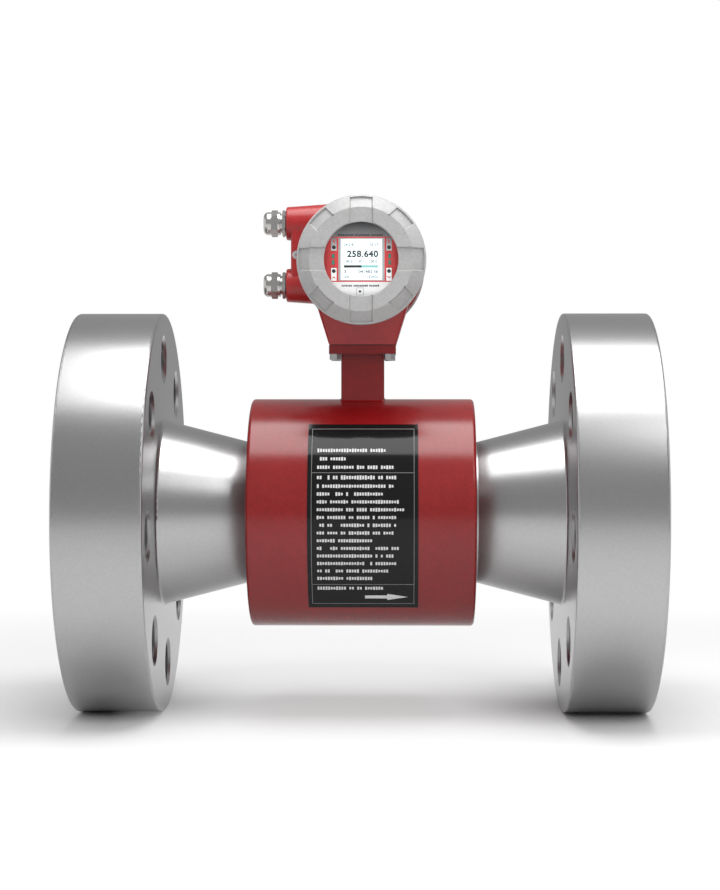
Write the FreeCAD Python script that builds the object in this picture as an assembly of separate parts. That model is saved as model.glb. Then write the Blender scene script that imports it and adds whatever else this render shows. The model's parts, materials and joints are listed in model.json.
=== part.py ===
"""Electromagnetic flow meter: a lined measuring tube between two heavy weld-neck flanges,
a coil drum around it, and a converter head with a window cap on a square neck.

Millimetres. The origin is the centre of the flow bore. X runs along the pipe in the
direction of flow, Z is up, and the window of the converter faces -Y.
"""
import FreeCAD, Part
import math
import os

V = FreeCAD.Vector

# ---- clearances -------------------------------------------------------------------------
bond_gap = 0.05          # between curved faces that are welded, pressed or glued together
free_gap = 0.3           # between curved faces that move past each other or slip together

# ---- measuring tube, liner and flanges --------------------------------------------------
bore_d = 100.0           # clear bore of the liner
liner_wall = 4.75        # wall of the liner, and thickness of its flared ends
pipe_od = 141.3          # measuring tube, 5 inch pipe
flange_od = 400.0
flange_thickness = 85.1
rim_to_rim = 568.8       # over the outer faces of the two flange discs
raised_face_d = 200.0
raised_face_height = 3.0
liner_flare_d = 184.0
liner_corner = 4.0       # radius where the liner turns out over the raised face
hub_base_d = 185.6
hub_land = 3.0           # straight stretch of the hub beside its weld
hub_fillet = 3.0
rim_round = 2.5
bolt_circle_d = 308.0
bolt_hole_d = 44.0
bolt_count = 8
bolt_turn = 5.8          # degrees from the top to the first hole, towards the front
bolt_hole_chamfer = 2.7

# ---- electrodes -------------------------------------------------------------------------
electrode_head_d = 12.0
electrode_head_thickness = 2.0
electrode_head_depth = 0.1   # how far the head lies behind the bore's own surface
electrode_pin_d = 6.0
electrode_pin_reach = 90.0   # from the axis of the tube
bush_d = 16.0
bush_collar_d = 23.0
bush_collar_height = 4.0
spot_face_d = 25.0
spot_face_depth = 2.65       # into the crown of the measuring tube
disc_spring_d = 17.0
disc_spring_rise = 1.0
disc_spring_wall = 0.8
electrode_nut_flats = 10.0
electrode_nut_height = 5.0

# ---- field coils ------------------------------------------------------------------------
pole_shoe_length = 100.0     # along the pipe
pole_shoe_width = 90.0       # across the pipe
pole_shoe_wall = 4.0
pole_core_d = 24.0
coil_od = 66.0
coil_lift = 1.0              # bobbin flange between shoe and winding
coil_gap = 3.2               # between the rim of the winding and the yoke
coil_corner = 3.0
yoke_gap = 3.5               # between the yoke and the shell of the drum
yoke_wall = 3.0
yoke_width = 60.0

# ---- drum around the coils --------------------------------------------------------------
drum_od = 228.0
drum_length = 222.0
drum_wall = 4.0
drum_edge_round = 3.5
end_plate_thickness = 6.0
wire_hole_d = 24.0

# ---- nameplate --------------------------------------------------------------------------
nameplate_width = 106.3      # along the pipe
nameplate_offset = 1.65      # its middle, towards the outlet
nameplate_span = 102.0       # degrees around the drum
nameplate_thickness = 0.65
nameplate_glue = 0.2         # film between the plate and the drum

# ---- neck -------------------------------------------------------------------------------
neck_width = 42.8
neck_wall = 3.5
neck_corner = 2.0
neck_weld = 2.5
neck_plate_width = 66.5
neck_plate_thickness = 8.6
neck_plate_corner = 1.6
neck_plate_underside = 158.9     # height above the axis of the tube
gasket_thickness = 0.8
gasket_inset = 0.8
head_bolt_inset = 6.15           # axis of each screw from two edges of the plate
head_bolt_d = 6.0
head_bolt_flats = 10.0
head_bolt_head = 5.8
head_bolt_reach = 12.0           # thread in the converter's foot
head_bolt_turns = (12.0, 0.0, 20.0, 41.0)   # how each hexagon came to stand, degrees

# ---- converter housing ------------------------------------------------------------------
head_axis_z = 248.0              # axis of the converter above the axis of the tube
front_shoulder = 77.5            # cap shoulders, from the middle of the neck
rear_shoulder = 65.5
housing_d = 112.0
shoulder_d = 122.0
shoulder_width = 7.5
spigot_d = 109.0
spigot_length = 19.5
chamber_d = 100.0
partition_front = 26.0           # front face of the wall between the two chambers
partition_wall = 4.0
partition_hole_d = 16.0
partition_hole_drop = 34.0
foot_bottom_width = neck_plate_width
foot_flare = 0.3086              # widening of each side for each millimetre of height
foot_corner = 5.0
foot_top_drop = 26.0             # how far below the head's axis the foot ends inside the drum
foot_hole_d = 24.0
entry_face_x = 77.0              # faces of the cable entries, to the left of the neck
entry_d = 33.2
entry_draft = 4.0                # degrees
entry_round = 1.8
entry_upper_z = 290.7
entry_lower_z = 228.5
entry_web_x = 72.0               # web that joins the two cable entries
entry_web_width = 31.0
entry_web_round = 4.0
entry_root_x = 30.0              # where the entries end inside the housing
entry_thread_d = 20.0

# ---- caps, window and seals -------------------------------------------------------------
cap_d = 125.0
cap_depth = 27.0                 # from the shoulder to the front face
cap_seat_gap = 0.4               # between cap and shoulder
cap_cone_depth = 10.0
cap_face_d = 100.0               # flat ring, where the cone begins
cap_band_d = 123.0               # small end of the base ring
cap_edge_round = 0.8
cap_face_wall = 4.5
recess_count = 8
recess_width = 20.7
recess_depth = 2.6
recess_draft = 25.0              # degrees, of the side walls
recess_end_d = 121.6
window_edge = 0.9                # chamfer around the window
collar_wall = 3.7                # inner collar that holds the glass
collar_end = 12.0                # height of the collar's end above the shoulder
glass_d = 88.0
glass_lip = 8.2                  # how far the cap covers the rim of the glass
glass_thickness = 6.0
window_gasket_thickness = 0.8
window_gasket_inset = 0.5        # behind the edge of the lip
retaining_ring_thickness = 4.0
retaining_ring_lap = 6.5         # how far it covers the rim of the glass
o_ring_mean_d = 116.2
o_ring_section = 2.2
o_ring_groove_width = 3.0
lug_angle = 175.3                # degrees, seen from the front, counted from the right
lug_radius = 4.0
lug_thickness = 4.0
lug_height = 5.0                 # above the shoulder
lug_hole_d = 2.0
lug_reach = 0.6                  # centre of the lug beyond the cap's rim

# ---- display and electronics ------------------------------------------------------------
fascia_d = 97.0
fascia_height = 10.5             # front of the fascia above the shoulder
fascia_face = 2.0
fascia_skirt_wall = 2.0
display_board_height = 3.0
board_thickness = 1.6
lcd_width = 44.7
lcd_tall = 41.3
lcd_rise = 0.6                   # middle of the display above the head's axis
screen_width = 40.0
screen_tall = 39.6
screen_thickness = 1.2
screen_recess = 0.4
opening_gap = 0.2                # round the display and the keys in the fascia
key_width = 5.2
key_tall = 12.4
key_x = 26.6
key_upper = 15.3
key_lower = -13.9
key_proud = 0.3
lamp_width = 2.2
lamp_tall = 4.1
lamp_x = 27.2
lamp_heights = (3.7, -2.4)
pillar_d = 6.0
pillar_circle_d = 82.0
main_board_d = 94.0
main_board_depth = 17.0          # behind the cap shoulder
transformer_size = (34.0, 20.0, 28.0)
transformer_window = 8.0
transformer_rise = 12.0          # above the head's axis
capacitor_d = 10.0
capacitor_height = 16.0
capacitor_edge_round = 0.8
capacitor_pitch = 14.0
capacitor_drop = 16.0            # below the head's axis
terminal_size = (72.0, 12.0, 30.0)
terminal_drop = 6.0
terminal_count = 8
terminal_screw_d = 5.0
terminal_screw_depth = 2.5
terminal_port = 5.0

# ---- cable glands -----------------------------------------------------------------------
gland_thread_d = 19.9            # screwed into the housing
gland_thread_length = 13.0
gland_washer_d = 24.8
gland_washer_thickness = 0.8
gland_flats = 23.4
gland_hex_height = 3.2
gland_male_d = 19.2              # thread that carries the nut
gland_male_length = 10.0
gland_bore_d = 14.0
gland_cage_d = 15.8
gland_cage_depth = 8.0
nut_gap = 2.0                    # visible neck between body and nut
nut_collar_d = 23.0
nut_collar_height = 2.6
nut_hex_height = 6.4
nut_dome_height = 7.8
nut_dome_round = 4.5
nut_face_wall = 4.3
nut_mouth_d = 13.6
seal_hole_d = 12.4
seal_head_length = 3.9
seal_tail_length = 6.8

# ---- derived ----------------------------------------------------------------------------
bore_r = bore_d / 2
pipe_r = pipe_od / 2
pipe_inner_r = bore_r + liner_wall
liner_r = pipe_inner_r - bond_gap
flange_r = flange_od / 2
rim_x = rim_to_rim / 2
hub_face_x = rim_x - flange_thickness
sealing_x = rim_x + raised_face_height
liner_end_x = sealing_x + liner_wall
drum_r = drum_od / 2
drum_inner_r = drum_r - drum_wall
drum_half = drum_length / 2
yoke_r = drum_inner_r - yoke_gap
yoke_inner_r = yoke_r - yoke_wall
coil_top = math.sqrt((yoke_inner_r - coil_gap) ** 2 - (coil_od / 2) ** 2)
spot_face_y = pipe_r - spot_face_depth
neck_half = neck_width / 2
neck_plate_top = neck_plate_underside + neck_plate_thickness
foot_bottom = neck_plate_top + gasket_thickness
foot_top = head_axis_z - foot_top_drop
spigot_r = spigot_d / 2
chamber_r = chamber_d / 2
cap_r = cap_d / 2
cap_inner_r = spigot_r + free_gap
glass_front = cap_depth - cap_face_wall - window_gasket_thickness
glass_back = glass_front - glass_thickness
glass_r = glass_d / 2
glass_pocket_r = glass_r + free_gap
window_r = glass_r - glass_lip
collar_r = glass_pocket_r + collar_wall
retaining_ring_r = glass_pocket_r - bond_gap
nut_inner_r = gland_male_d / 2 + free_gap
gland_hex_top = gland_washer_thickness + gland_hex_height
gland_male_end = gland_hex_top + gland_male_length
nut_start = gland_hex_top + nut_gap
nut_hex_start = nut_start + nut_collar_height
nut_dome_start = nut_hex_start + nut_hex_height
nut_end = nut_dome_start + nut_dome_height
nut_pocket_end = nut_end - nut_face_wall
rear_chamber_floor = -partition_front + partition_wall
display_board_front = display_board_height + board_thickness
main_board_front = -main_board_depth

FRONT = V(0, -1, 0)
REAR = V(0, 1, 0)


# ---- helpers ----------------------------------------------------------------------------
def outline(corners):
    """Closed wire in the XZ plane through (x, z) corners; a third value rounds the corner."""
    points = [V(c[0], 0, c[1]) for c in corners]
    ends = []
    for i, here in enumerate(points):
        radius = corners[i][2] if len(corners[i]) > 2 else 0
        if not radius:
            ends.append((here, None, here))
            continue
        back = (points[i - 1] - here).normalize()
        on = (points[(i + 1) % len(points)] - here).normalize()
        half = back.getAngle(on) / 2
        middle = (back + on).normalize()
        reach = radius / math.tan(half)
        nearest = here + middle * (radius / math.sin(half) - radius)
        ends.append((here + back * reach, nearest, here + on * reach))
    edges = []
    for i, (start, nearest, end) in enumerate(ends):
        last = ends[i - 1][2]
        if last.distanceToPoint(start) > 1e-6:
            edges.append(Part.makeLine(last, start))
        if nearest:
            edges.append(Part.Arc(start, nearest, end).toShape())
    return Part.Wire(edges)


def turned(corners):
    """Solid of revolution about X; each corner is (place along X, radius[, rounding])."""
    return Part.Face(outline(corners)).revolve(V(0, 0, 0), V(1, 0, 0), 360)


def ring(x0, x1, inner_r, outer_r):
    """Plain ring about X between two places along it."""
    return turned([(x0, inner_r), (x0, outer_r), (x1, outer_r), (x1, inner_r)])


def aimed(shape, base, direction):
    """The shape, made along +X from the origin, moved to base and pointed along direction."""
    placed = shape.copy()
    placed.Placement = FreeCAD.Placement(base, FreeCAD.Rotation(V(1, 0, 0), direction))
    return placed


def rod(radius, x0, x1, base, direction):
    """Round bar along direction, from x0 to x1 beyond base."""
    return aimed(Part.makeCylinder(radius, x1 - x0, V(x0, 0, 0), V(1, 0, 0)), base, direction)


def block(x, y, z):
    """Box between the (low, high) pairs x, y and z."""
    return Part.makeBox(x[1] - x[0], y[1] - y[0], z[1] - z[0], V(x[0], y[0], z[0]))


def hexagon(flats, x0, x1, chamfer=0.0, spin=0.0):
    """Hexagonal bar along X with a corner at the top, its far corners turned down."""
    corner_r = flats / math.sqrt(3)
    angles = [math.radians(60 * i + spin) for i in range(7)]
    rim = [V(x0, corner_r * math.sin(a), corner_r * math.cos(a)) for a in angles]
    bar = Part.Face(Part.makePolygon(rim)).extrude(V(x1 - x0, 0, 0))
    if chamfer:
        bar = bar.common(turned([
            (x0, 0), (x0, corner_r - chamfer), (x0 + chamfer * 0.6, corner_r),
            (x1 - chamfer * 0.6, corner_r), (x1, corner_r - chamfer), (x1, 0)]))
    return bar


def rounded_square(width, corner, z):
    """Closed wire of a square with round corners, level at height z."""
    half = width / 2
    flat = outline([(-half, -half, corner), (half, -half, corner),
                    (half, half, corner), (-half, half, corner)])
    flat.Placement = FreeCAD.Placement(V(0, 0, z), FreeCAD.Rotation(V(1, 0, 0), -90))
    return flat


def square_bar(width, corner, z0, z1):
    """Upright square bar with round corners."""
    return Part.Face(rounded_square(width, corner, z0)).extrude(V(0, 0, z1 - z0))


def softened(solid, radius, chosen):
    """The solid with a fillet on each edge whose middle point is chosen."""
    edges = [e for e in solid.Edges
             if chosen(e.valueAt((e.FirstParameter + e.LastParameter) / 2))]
    return solid.makeFillet(radius, edges)


def mirrored(solid):
    """The same piece on the other side of the middle plane across the pipe."""
    return solid.mirror(V(0, 0, 0), V(1, 0, 0))


def head_point(height=0.0, x=0.0, z=0.0):
    """Point of the converter at a height above the front cap's shoulder, off its axis."""
    return V(x, -front_shoulder - height, head_axis_z + z)


def head_block(width, tall, x, z, low, high):
    """Upright box of the display, between two heights above the front cap's shoulder."""
    return block((x - width / 2, x + width / 2),
                 (-front_shoulder - high, -front_shoulder - low),
                 (head_axis_z + z - tall / 2, head_axis_z + z + tall / 2))


# ---- measuring tube, liner and flanges --------------------------------------------------
def electrode_sides():
    """The two directions in which electrodes leave the tube."""
    return (FRONT, REAR)


def measuring_tube():
    """Plain pipe with a hole and a flat seat for each electrode."""
    tube = ring(-drum_half, drum_half, pipe_inner_r, pipe_r)
    for side in electrode_sides():
        tube = tube.cut(rod(bush_d / 2 + bond_gap, bore_r, pipe_r + 1, V(0, 0, 0), side))
        tube = tube.cut(rod(spot_face_d / 2, spot_face_y, pipe_r + 1, V(0, 0, 0), side))
    return tube


def liner():
    """Liner of the bore, flared over both raised faces, with recesses for the electrodes."""
    flare_r = liner_flare_d / 2
    lining = turned([
        (-liner_end_x, bore_r, 2.0), (-liner_end_x, flare_r), (-sealing_x, flare_r),
        (-sealing_x, liner_r, liner_corner), (sealing_x, liner_r, liner_corner),
        (sealing_x, flare_r), (liner_end_x, flare_r), (liner_end_x, bore_r, 2.0)])
    recess_r = electrode_head_d / 2 + free_gap
    for side in electrode_sides():
        recess_floor = bore_r + electrode_head_depth + electrode_head_thickness
        lining = lining.cut(rod(recess_r, bore_r - 2, recess_floor, V(0, 0, 0), side))
        lining = lining.cut(rod(electrode_pin_d / 2 + bond_gap, bore_r, pipe_r, V(0, 0, 0), side))
    return lining


def bolt_drill():
    """Cutter for one bolt hole through the flange disc, with both of its chamfers."""
    hole_r = bolt_hole_d / 2
    wide_r = hole_r + bolt_hole_chamfer + 1
    return turned([
        (hub_face_x - 1, 0), (hub_face_x - 1, wide_r),
        (hub_face_x + bolt_hole_chamfer, hole_r), (rim_x - bolt_hole_chamfer, hole_r),
        (rim_x + 1, wide_r), (rim_x + 1, 0)])


def right_flange():
    """Weld-neck flange: tapered hub, thick disc, raised face and a circle of bolt holes."""
    flange = turned([
        (drum_half, pipe_inner_r), (drum_half, pipe_r), (drum_half + hub_land, pipe_r),
        (hub_face_x, hub_base_d / 2, hub_fillet), (hub_face_x, flange_r, rim_round),
        (rim_x, flange_r, rim_round), (rim_x, raised_face_d / 2),
        (sealing_x, raised_face_d / 2), (sealing_x, pipe_inner_r, liner_corner)])
    drill = bolt_drill()
    for i in range(bolt_count):
        angle = math.radians(bolt_turn + 360 / bolt_count * i)
        across = V(0, -math.sin(angle), math.cos(angle)) * (bolt_circle_d / 2)
        flange = flange.cut(drill.translated(across))
    return flange


def left_flange():
    """The same flange at the inlet."""
    return mirrored(right_flange())


# ---- electrodes -------------------------------------------------------------------------
def electrode(side):
    """Measuring electrode: flat head in the liner on a pin through the wall."""
    head_front = bore_r + electrode_head_depth
    head_back = head_front + electrode_head_thickness
    pin_r = electrode_pin_d / 2
    return aimed(turned([
        (head_front, 0), (head_front, electrode_head_d / 2, 0.4),
        (head_back, electrode_head_d / 2), (head_back, pin_r),
        (electrode_pin_reach, pin_r, 0.6), (electrode_pin_reach, 0)]), V(0, 0, 0), side)


def electrode_bush(side):
    """Insulating bush in the tube wall, with a collar on the flat seat."""
    hole_r = electrode_pin_d / 2 + bond_gap
    return aimed(turned([
        (pipe_inner_r, hole_r), (pipe_inner_r, bush_d / 2),
        (spot_face_y, bush_d / 2), (spot_face_y, bush_collar_d / 2),
        (spot_face_y + bush_collar_height, bush_collar_d / 2, 0.5),
        (spot_face_y + bush_collar_height, hole_r)]), V(0, 0, 0), side)


def spring_stack_start():
    """Distance of the spring stack's foot from the axis of the tube."""
    return spot_face_y + bush_collar_height


def electrode_springs():
    """Pairs of disc springs that keep the electrode heads tight on the liner."""
    low = spring_stack_start()
    inner_r = electrode_pin_d / 2 + free_gap
    outer_r = disc_spring_d / 2
    lower = turned([
        (low, outer_r), (low + disc_spring_rise, inner_r),
        (low + disc_spring_rise + disc_spring_wall, inner_r), (low + disc_spring_wall, outer_r)])
    top = low + 2 * (disc_spring_rise + disc_spring_wall)
    upper = turned([
        (top, outer_r), (top - disc_spring_rise, inner_r),
        (top - disc_spring_rise - disc_spring_wall, inner_r), (top - disc_spring_wall, outer_r)])
    return Part.makeCompound([aimed(disc, V(0, 0, 0), side)
                              for side in electrode_sides() for disc in (lower, upper)])


def electrode_nuts():
    """Nuts that draw the electrodes outwards."""
    low = spring_stack_start() + 2 * (disc_spring_rise + disc_spring_wall)
    nut = hexagon(electrode_nut_flats, low, low + electrode_nut_height, chamfer=0.6)
    nut = nut.cut(ring(low - 1, low + electrode_nut_height + 1, 0, electrode_pin_d / 2 + bond_gap))
    return Part.makeCompound([aimed(nut, V(0, 0, 0), side) for side in electrode_sides()])


# ---- field coils ------------------------------------------------------------------------
def pole_shoe(up):
    """Saddle on the tube with the round core that carries the coil up to the yoke."""
    low_r = pipe_r + bond_gap
    saddle = ring(-pole_shoe_length / 2, pole_shoe_length / 2, low_r, low_r + pole_shoe_wall)
    half_width = pole_shoe_width / 2
    saddle = saddle.common(block((-pole_shoe_length, pole_shoe_length),
                                 (-half_width, half_width), (0, yoke_r)))
    core = Part.makeCylinder(pole_core_d / 2, yoke_r - low_r, V(0, 0, low_r), V(0, 0, 1))
    inside_yoke = Part.makeCylinder(yoke_inner_r - bond_gap, pole_core_d * 2,
                                    V(-pole_core_d, 0, 0), V(1, 0, 0))
    shoe = saddle.fuse(core.common(inside_yoke)).removeSplitter()
    return shoe if up else shoe.mirror(V(0, 0, 0), V(0, 0, 1))


def coil(up):
    """Field winding around the core of its pole shoe."""
    low = pipe_r + bond_gap + pole_shoe_wall + coil_lift
    inner_r = pole_core_d / 2 + free_gap
    winding = aimed(turned([
        (low, inner_r), (low, coil_od / 2, coil_corner),
        (coil_top, coil_od / 2, coil_corner), (coil_top, inner_r)]),
        V(0, 0, 0), V(0, 0, 1))
    return winding if up else winding.mirror(V(0, 0, 0), V(0, 0, 1))


def magnet_yoke():
    """Steel band that closes the field around both coils."""
    return ring(-yoke_width / 2, yoke_width / 2, yoke_inner_r, yoke_r)


# ---- drum -------------------------------------------------------------------------------
def housing_shell():
    """Round shell of the drum, open at the top for the wires of the coils."""
    shell = turned([
        (-drum_half, drum_inner_r), (-drum_half, drum_r, drum_edge_round),
        (drum_half, drum_r, drum_edge_round), (drum_half, drum_inner_r)])
    return shell.cut(Part.makeCylinder(wire_hole_d / 2, drum_r, V(0, 0, 1), V(0, 0, 1)))


def right_end_plate():
    """Ring welded between the shell and the measuring tube."""
    return ring(drum_half - end_plate_thickness, drum_half,
                pipe_r + bond_gap, drum_inner_r - bond_gap)


def left_end_plate():
    """The same ring at the inlet."""
    return mirrored(right_end_plate())


def nameplate():
    """Thin plate bent around the front of the drum."""
    inner_r = drum_r + nameplate_glue
    half_width = nameplate_width / 2
    section = Part.Face(outline([
        (nameplate_offset - half_width, inner_r), (nameplate_offset + half_width, inner_r),
        (nameplate_offset + half_width, inner_r + nameplate_thickness),
        (nameplate_offset - half_width, inner_r + nameplate_thickness)]))
    lower_edge = 90 + nameplate_span / 2
    section.rotate(V(0, 0, 0), V(1, 0, 0), lower_edge)
    return section.revolve(V(0, 0, 0), V(1, 0, 0), -nameplate_span)


# ---- neck -------------------------------------------------------------------------------
def bolt_places():
    """Centres of the four screws between neck and converter, at height zero."""
    half = neck_plate_width / 2 - head_bolt_inset
    return [V(x, y, 0) for x in (-half, half) for y in (-half, half)]


def neck():
    """Square post on the drum with a welded foot, and the plate that carries the converter."""
    drum = Part.makeCylinder(drum_r, 2 * neck_width, V(-neck_width, 0, 0), V(1, 0, 0))
    post = square_bar(neck_width, neck_corner, 0, neck_plate_underside)
    joined = drum.fuse(post)
    on_seam = neck_half + 0.01

    def meets_drum(p):
        near_post = abs(p.x) < on_seam and 1 < max(abs(p.y), abs(p.x)) and abs(p.y) < on_seam
        return near_post and p.z > 0 and abs(math.hypot(p.y, p.z) - drum_r) < 0.01

    joined = softened(joined, neck_weld, meets_drum)
    body = joined.cut(drum)
    plate = square_bar(neck_plate_width, neck_plate_corner, neck_plate_underside, neck_plate_top)
    body = body.fuse(plate).removeSplitter()
    passage = neck_width - 2 * neck_wall
    body = body.cut(square_bar(passage, neck_corner, 0, neck_plate_top + 1))
    for place in bolt_places():
        hole_r = head_bolt_d / 2 + free_gap
        body = body.cut(Part.makeCylinder(hole_r, neck_plate_top, place, V(0, 0, 1)))
    return body


def neck_gasket():
    """Flat gasket between the neck plate and the converter's foot."""
    gasket = square_bar(neck_plate_width - 2 * gasket_inset, neck_plate_corner,
                        neck_plate_top, foot_bottom)
    passage = neck_width - 2 * neck_wall
    gasket = gasket.cut(square_bar(passage, neck_corner, neck_plate_top - 1, foot_bottom + 1))
    for place in bolt_places():
        hole_r = head_bolt_d / 2 + free_gap
        gasket = gasket.cut(Part.makeCylinder(hole_r, foot_bottom, place, V(0, 0, 1)))
    return gasket


def head_bolts():
    """Hexagon screws that hold the converter on the neck, put in from below."""
    screws = []
    length = foot_bottom + head_bolt_reach - neck_plate_underside
    for place, spin in zip(bolt_places(), head_bolt_turns):
        screw = hexagon(head_bolt_flats, -head_bolt_head, 0, chamfer=0.5, spin=spin)
        screw = screw.fuse(Part.makeCylinder(head_bolt_d / 2, length, V(0, 0, 0), V(1, 0, 0)))
        screws.append(aimed(screw, place + V(0, 0, neck_plate_underside), V(0, 0, 1)))
    return Part.makeCompound(screws)


# ---- converter housing ------------------------------------------------------------------
def housing_drum():
    """Turned body of the housing, with a shoulder and a threaded spigot for each cap."""
    house_r, shoulder_r = housing_d / 2, shoulder_d / 2
    step = shoulder_r - house_r
    front, rear = -front_shoulder, rear_shoulder
    return aimed(turned([
        (front - spigot_length, 0), (front - spigot_length, spigot_r, 0.6), (front, spigot_r),
        (front, shoulder_r, 0.8), (front + shoulder_width, shoulder_r, 1.5),
        (front + shoulder_width + step, house_r, 3.0), (rear - shoulder_width - step, house_r, 3.0),
        (rear - shoulder_width, shoulder_r, 1.5), (rear, shoulder_r, 0.8), (rear, spigot_r),
        (rear + spigot_length, spigot_r, 0.6), (rear + spigot_length, 0)]),
        V(0, 0, head_axis_z), REAR)


def housing_foot():
    """Foot that widens from the neck plate up into the drum of the housing."""
    top_width = foot_bottom_width + 2 * foot_flare * (foot_top - foot_bottom)
    return Part.makeLoft([rounded_square(foot_bottom_width, neck_plate_corner, foot_bottom),
                          rounded_square(top_width, foot_corner, foot_top)], True, True)


def cable_entry(z):
    """Tapered boss of one cable entry, from its face into the housing."""
    length = entry_face_x - entry_root_x
    root_r = entry_d / 2 + length * math.tan(math.radians(entry_draft))
    return aimed(turned([(-length, 0), (-length, root_r), (0, entry_d / 2, entry_round), (0, 0)]),
                 V(-entry_face_x, 0, z), V(-1, 0, 0))


def entry_web():
    """Wall between the two cable entries."""
    half = entry_web_width / 2
    web = block((-entry_web_x, -entry_root_x), (-half, half), (entry_lower_z, entry_upper_z))
    return softened(web, entry_web_round,
                    lambda p: p.x < -entry_web_x + 0.01 and abs(abs(p.y) - half) < 0.01)


def converter_housing():
    """Casting with two chambers, the foot, and the two cable entries on the left."""
    body = housing_drum().fuse([housing_foot(), cable_entry(entry_upper_z),
                                cable_entry(entry_lower_z), entry_web()])
    axis = V(0, 0, head_axis_z)
    body = body.cut([
        rod(chamber_r, partition_front, front_shoulder + spigot_length + 1, axis, FRONT),
        rod(chamber_r, -partition_front + partition_wall, rear_shoulder + spigot_length + 1,
            axis, REAR),
        rod(partition_hole_d / 2, 0, partition_front + 1,
            axis - V(0, 0, partition_hole_drop), FRONT),
        Part.makeCylinder(foot_hole_d / 2, head_axis_z - foot_bottom, V(0, 0, foot_bottom),
                          V(0, 0, 1))])
    for z in (entry_upper_z, entry_lower_z):
        body = body.cut(rod(entry_thread_d / 2, entry_root_x, entry_face_x + 1,
                            V(0, 0, z), V(-1, 0, 0)))
    for place in bolt_places():
        hole = Part.makeCylinder(head_bolt_d / 2 + bond_gap, head_bolt_reach + 1.5,
                                 place + V(0, 0, foot_bottom), V(0, 0, 1))
        body = body.cut(hole)
    return body.removeSplitter()


# ---- caps -------------------------------------------------------------------------------
def cap_outer(drop=0.0):
    """Corners of the cap's outside from the face to the base ring, shifted down by drop."""
    cone_end = cap_depth - cap_cone_depth
    return [(cap_depth - drop, cap_face_d / 2), (cone_end - drop, cap_band_d / 2)]


def recess_sides(floor_u, face_r, slope):
    """Radial bar with drafted sides: level over the flat face, then sloping down the cone."""
    draft = math.tan(math.radians(recess_draft))
    section = []
    for u, side in ((floor_u - 1, -1), (floor_u - 1, 1), (cap_depth + 2, 1), (cap_depth + 2, -1)):
        section.append(V(u, side * (recess_width / 2 + (u - floor_u) * draft), 0))
    section.append(section[0])
    face = Part.Face(Part.makePolygon(section))
    run = cap_r - face_r + 2
    level = face.extrude(V(0, 0, face_r))
    sloping = face.translated(V(0, 0, face_r)).extrude(V(-slope * run, 0, run))
    return level.fuse(sloping)


def recess_cutter(start_r, angle):
    """Cutter that follows the cap's face and cone below one recess."""
    (face_u, face_r), (band_u, band_r) = cap_outer(recess_depth)
    slope = (face_u - band_u) / (band_r - face_r)
    end_r = recess_end_d / 2
    end_u = face_u - slope * (end_r - face_r)
    corners = [(cap_depth + 1, start_r), (face_u, start_r)]
    if start_r < face_r:
        corners.append((face_u, face_r))
    else:
        corners[1] = (face_u - slope * (start_r - face_r), start_r)
    corners += [(end_u, end_r, 0.8), (cap_depth + 1, end_r)]
    sides = recess_sides(face_u, face_r, slope)
    sides.rotate(V(0, 0, 0), V(1, 0, 0), angle)
    return turned(corners).common(sides)


def cap_shell(corners_inside, face_hole_r):
    """Cap about X, from the shoulder outwards, with its grip recesses."""
    groove_in = o_ring_mean_d / 2 - o_ring_groove_width / 2
    groove_out = groove_in + o_ring_groove_width
    groove_floor = cap_seat_gap + o_ring_section + 0.2
    (face_u, face_r), (band_u, band_r) = cap_outer()
    cap = turned(corners_inside + [
        (face_u, face_r, 2.0), (band_u, band_r, 0.6), (band_u - 0.6, cap_r, cap_edge_round),
        (cap_seat_gap, cap_r, cap_edge_round), (cap_seat_gap, groove_out),
        (groove_floor, groove_out), (groove_floor, groove_in), (cap_seat_gap, groove_in),
        (cap_seat_gap, cap_inner_r)])
    for i in range(recess_count):
        through_face = i % 2 == 0
        start_r = face_hole_r if through_face else cap_face_d / 2 - 1.0
        cap = cap.cut(recess_cutter(start_r, 360 / recess_count * i))
    return cap


def lock_lug():
    """Small drilled ear on the rim of the front cap."""
    lug = Part.makeCylinder(lug_radius, lug_thickness, V(lug_height, 0, 0), V(1, 0, 0))
    inward = block((lug_height, lug_height + lug_thickness), (-lug_radius, lug_radius),
                   (-lug_radius, 0))
    lug = lug.fuse(inward)
    hole = Part.makeCylinder(lug_hole_d / 2, cap_depth, V(0, 0, 0), V(1, 0, 0))
    lug = lug.cut(hole).translated(V(0, 0, cap_r + lug_reach))
    lug.rotate(V(0, 0, 0), V(1, 0, 0), lug_angle - 90)
    return lug


def front_cap():
    """Window cap: a screwed rim with an inner collar that holds the glass."""
    pocket_floor = cap_depth - cap_face_wall
    shell = cap_shell([
        (spigot_length + 0.6, cap_inner_r), (spigot_length + 0.6, collar_r),
        (collar_end, collar_r, 0.5), (collar_end, glass_pocket_r),
        (pocket_floor, glass_pocket_r), (pocket_floor, window_r),
        (cap_depth - window_edge, window_r), (cap_depth, window_r + window_edge)],
        window_r - 1)
    return aimed(shell.fuse(lock_lug()), head_point(), FRONT)


def rear_cap():
    """Blind cap over the terminal chamber."""
    inside = spigot_length + 2.5
    shell = cap_shell([
        (spigot_length + 0.6, cap_inner_r), (inside, collar_r, 1.0), (inside, 0),
        (cap_depth, 0)], window_r)
    return aimed(shell, V(0, rear_shoulder, head_axis_z), REAR)


def o_ring(base, direction):
    """Seal ring that lies in the groove of a cap."""
    middle = cap_seat_gap + o_ring_section / 2 - 0.1
    torus = Part.makeTorus(o_ring_mean_d / 2, o_ring_section / 2, V(middle, 0, 0), V(1, 0, 0))
    return aimed(torus, base, direction)


def front_cap_o_ring():
    """Seal ring of the window cap."""
    return o_ring(head_point(), FRONT)


def rear_cap_o_ring():
    """Seal ring of the blind cap."""
    return o_ring(V(0, rear_shoulder, head_axis_z), REAR)


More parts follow.
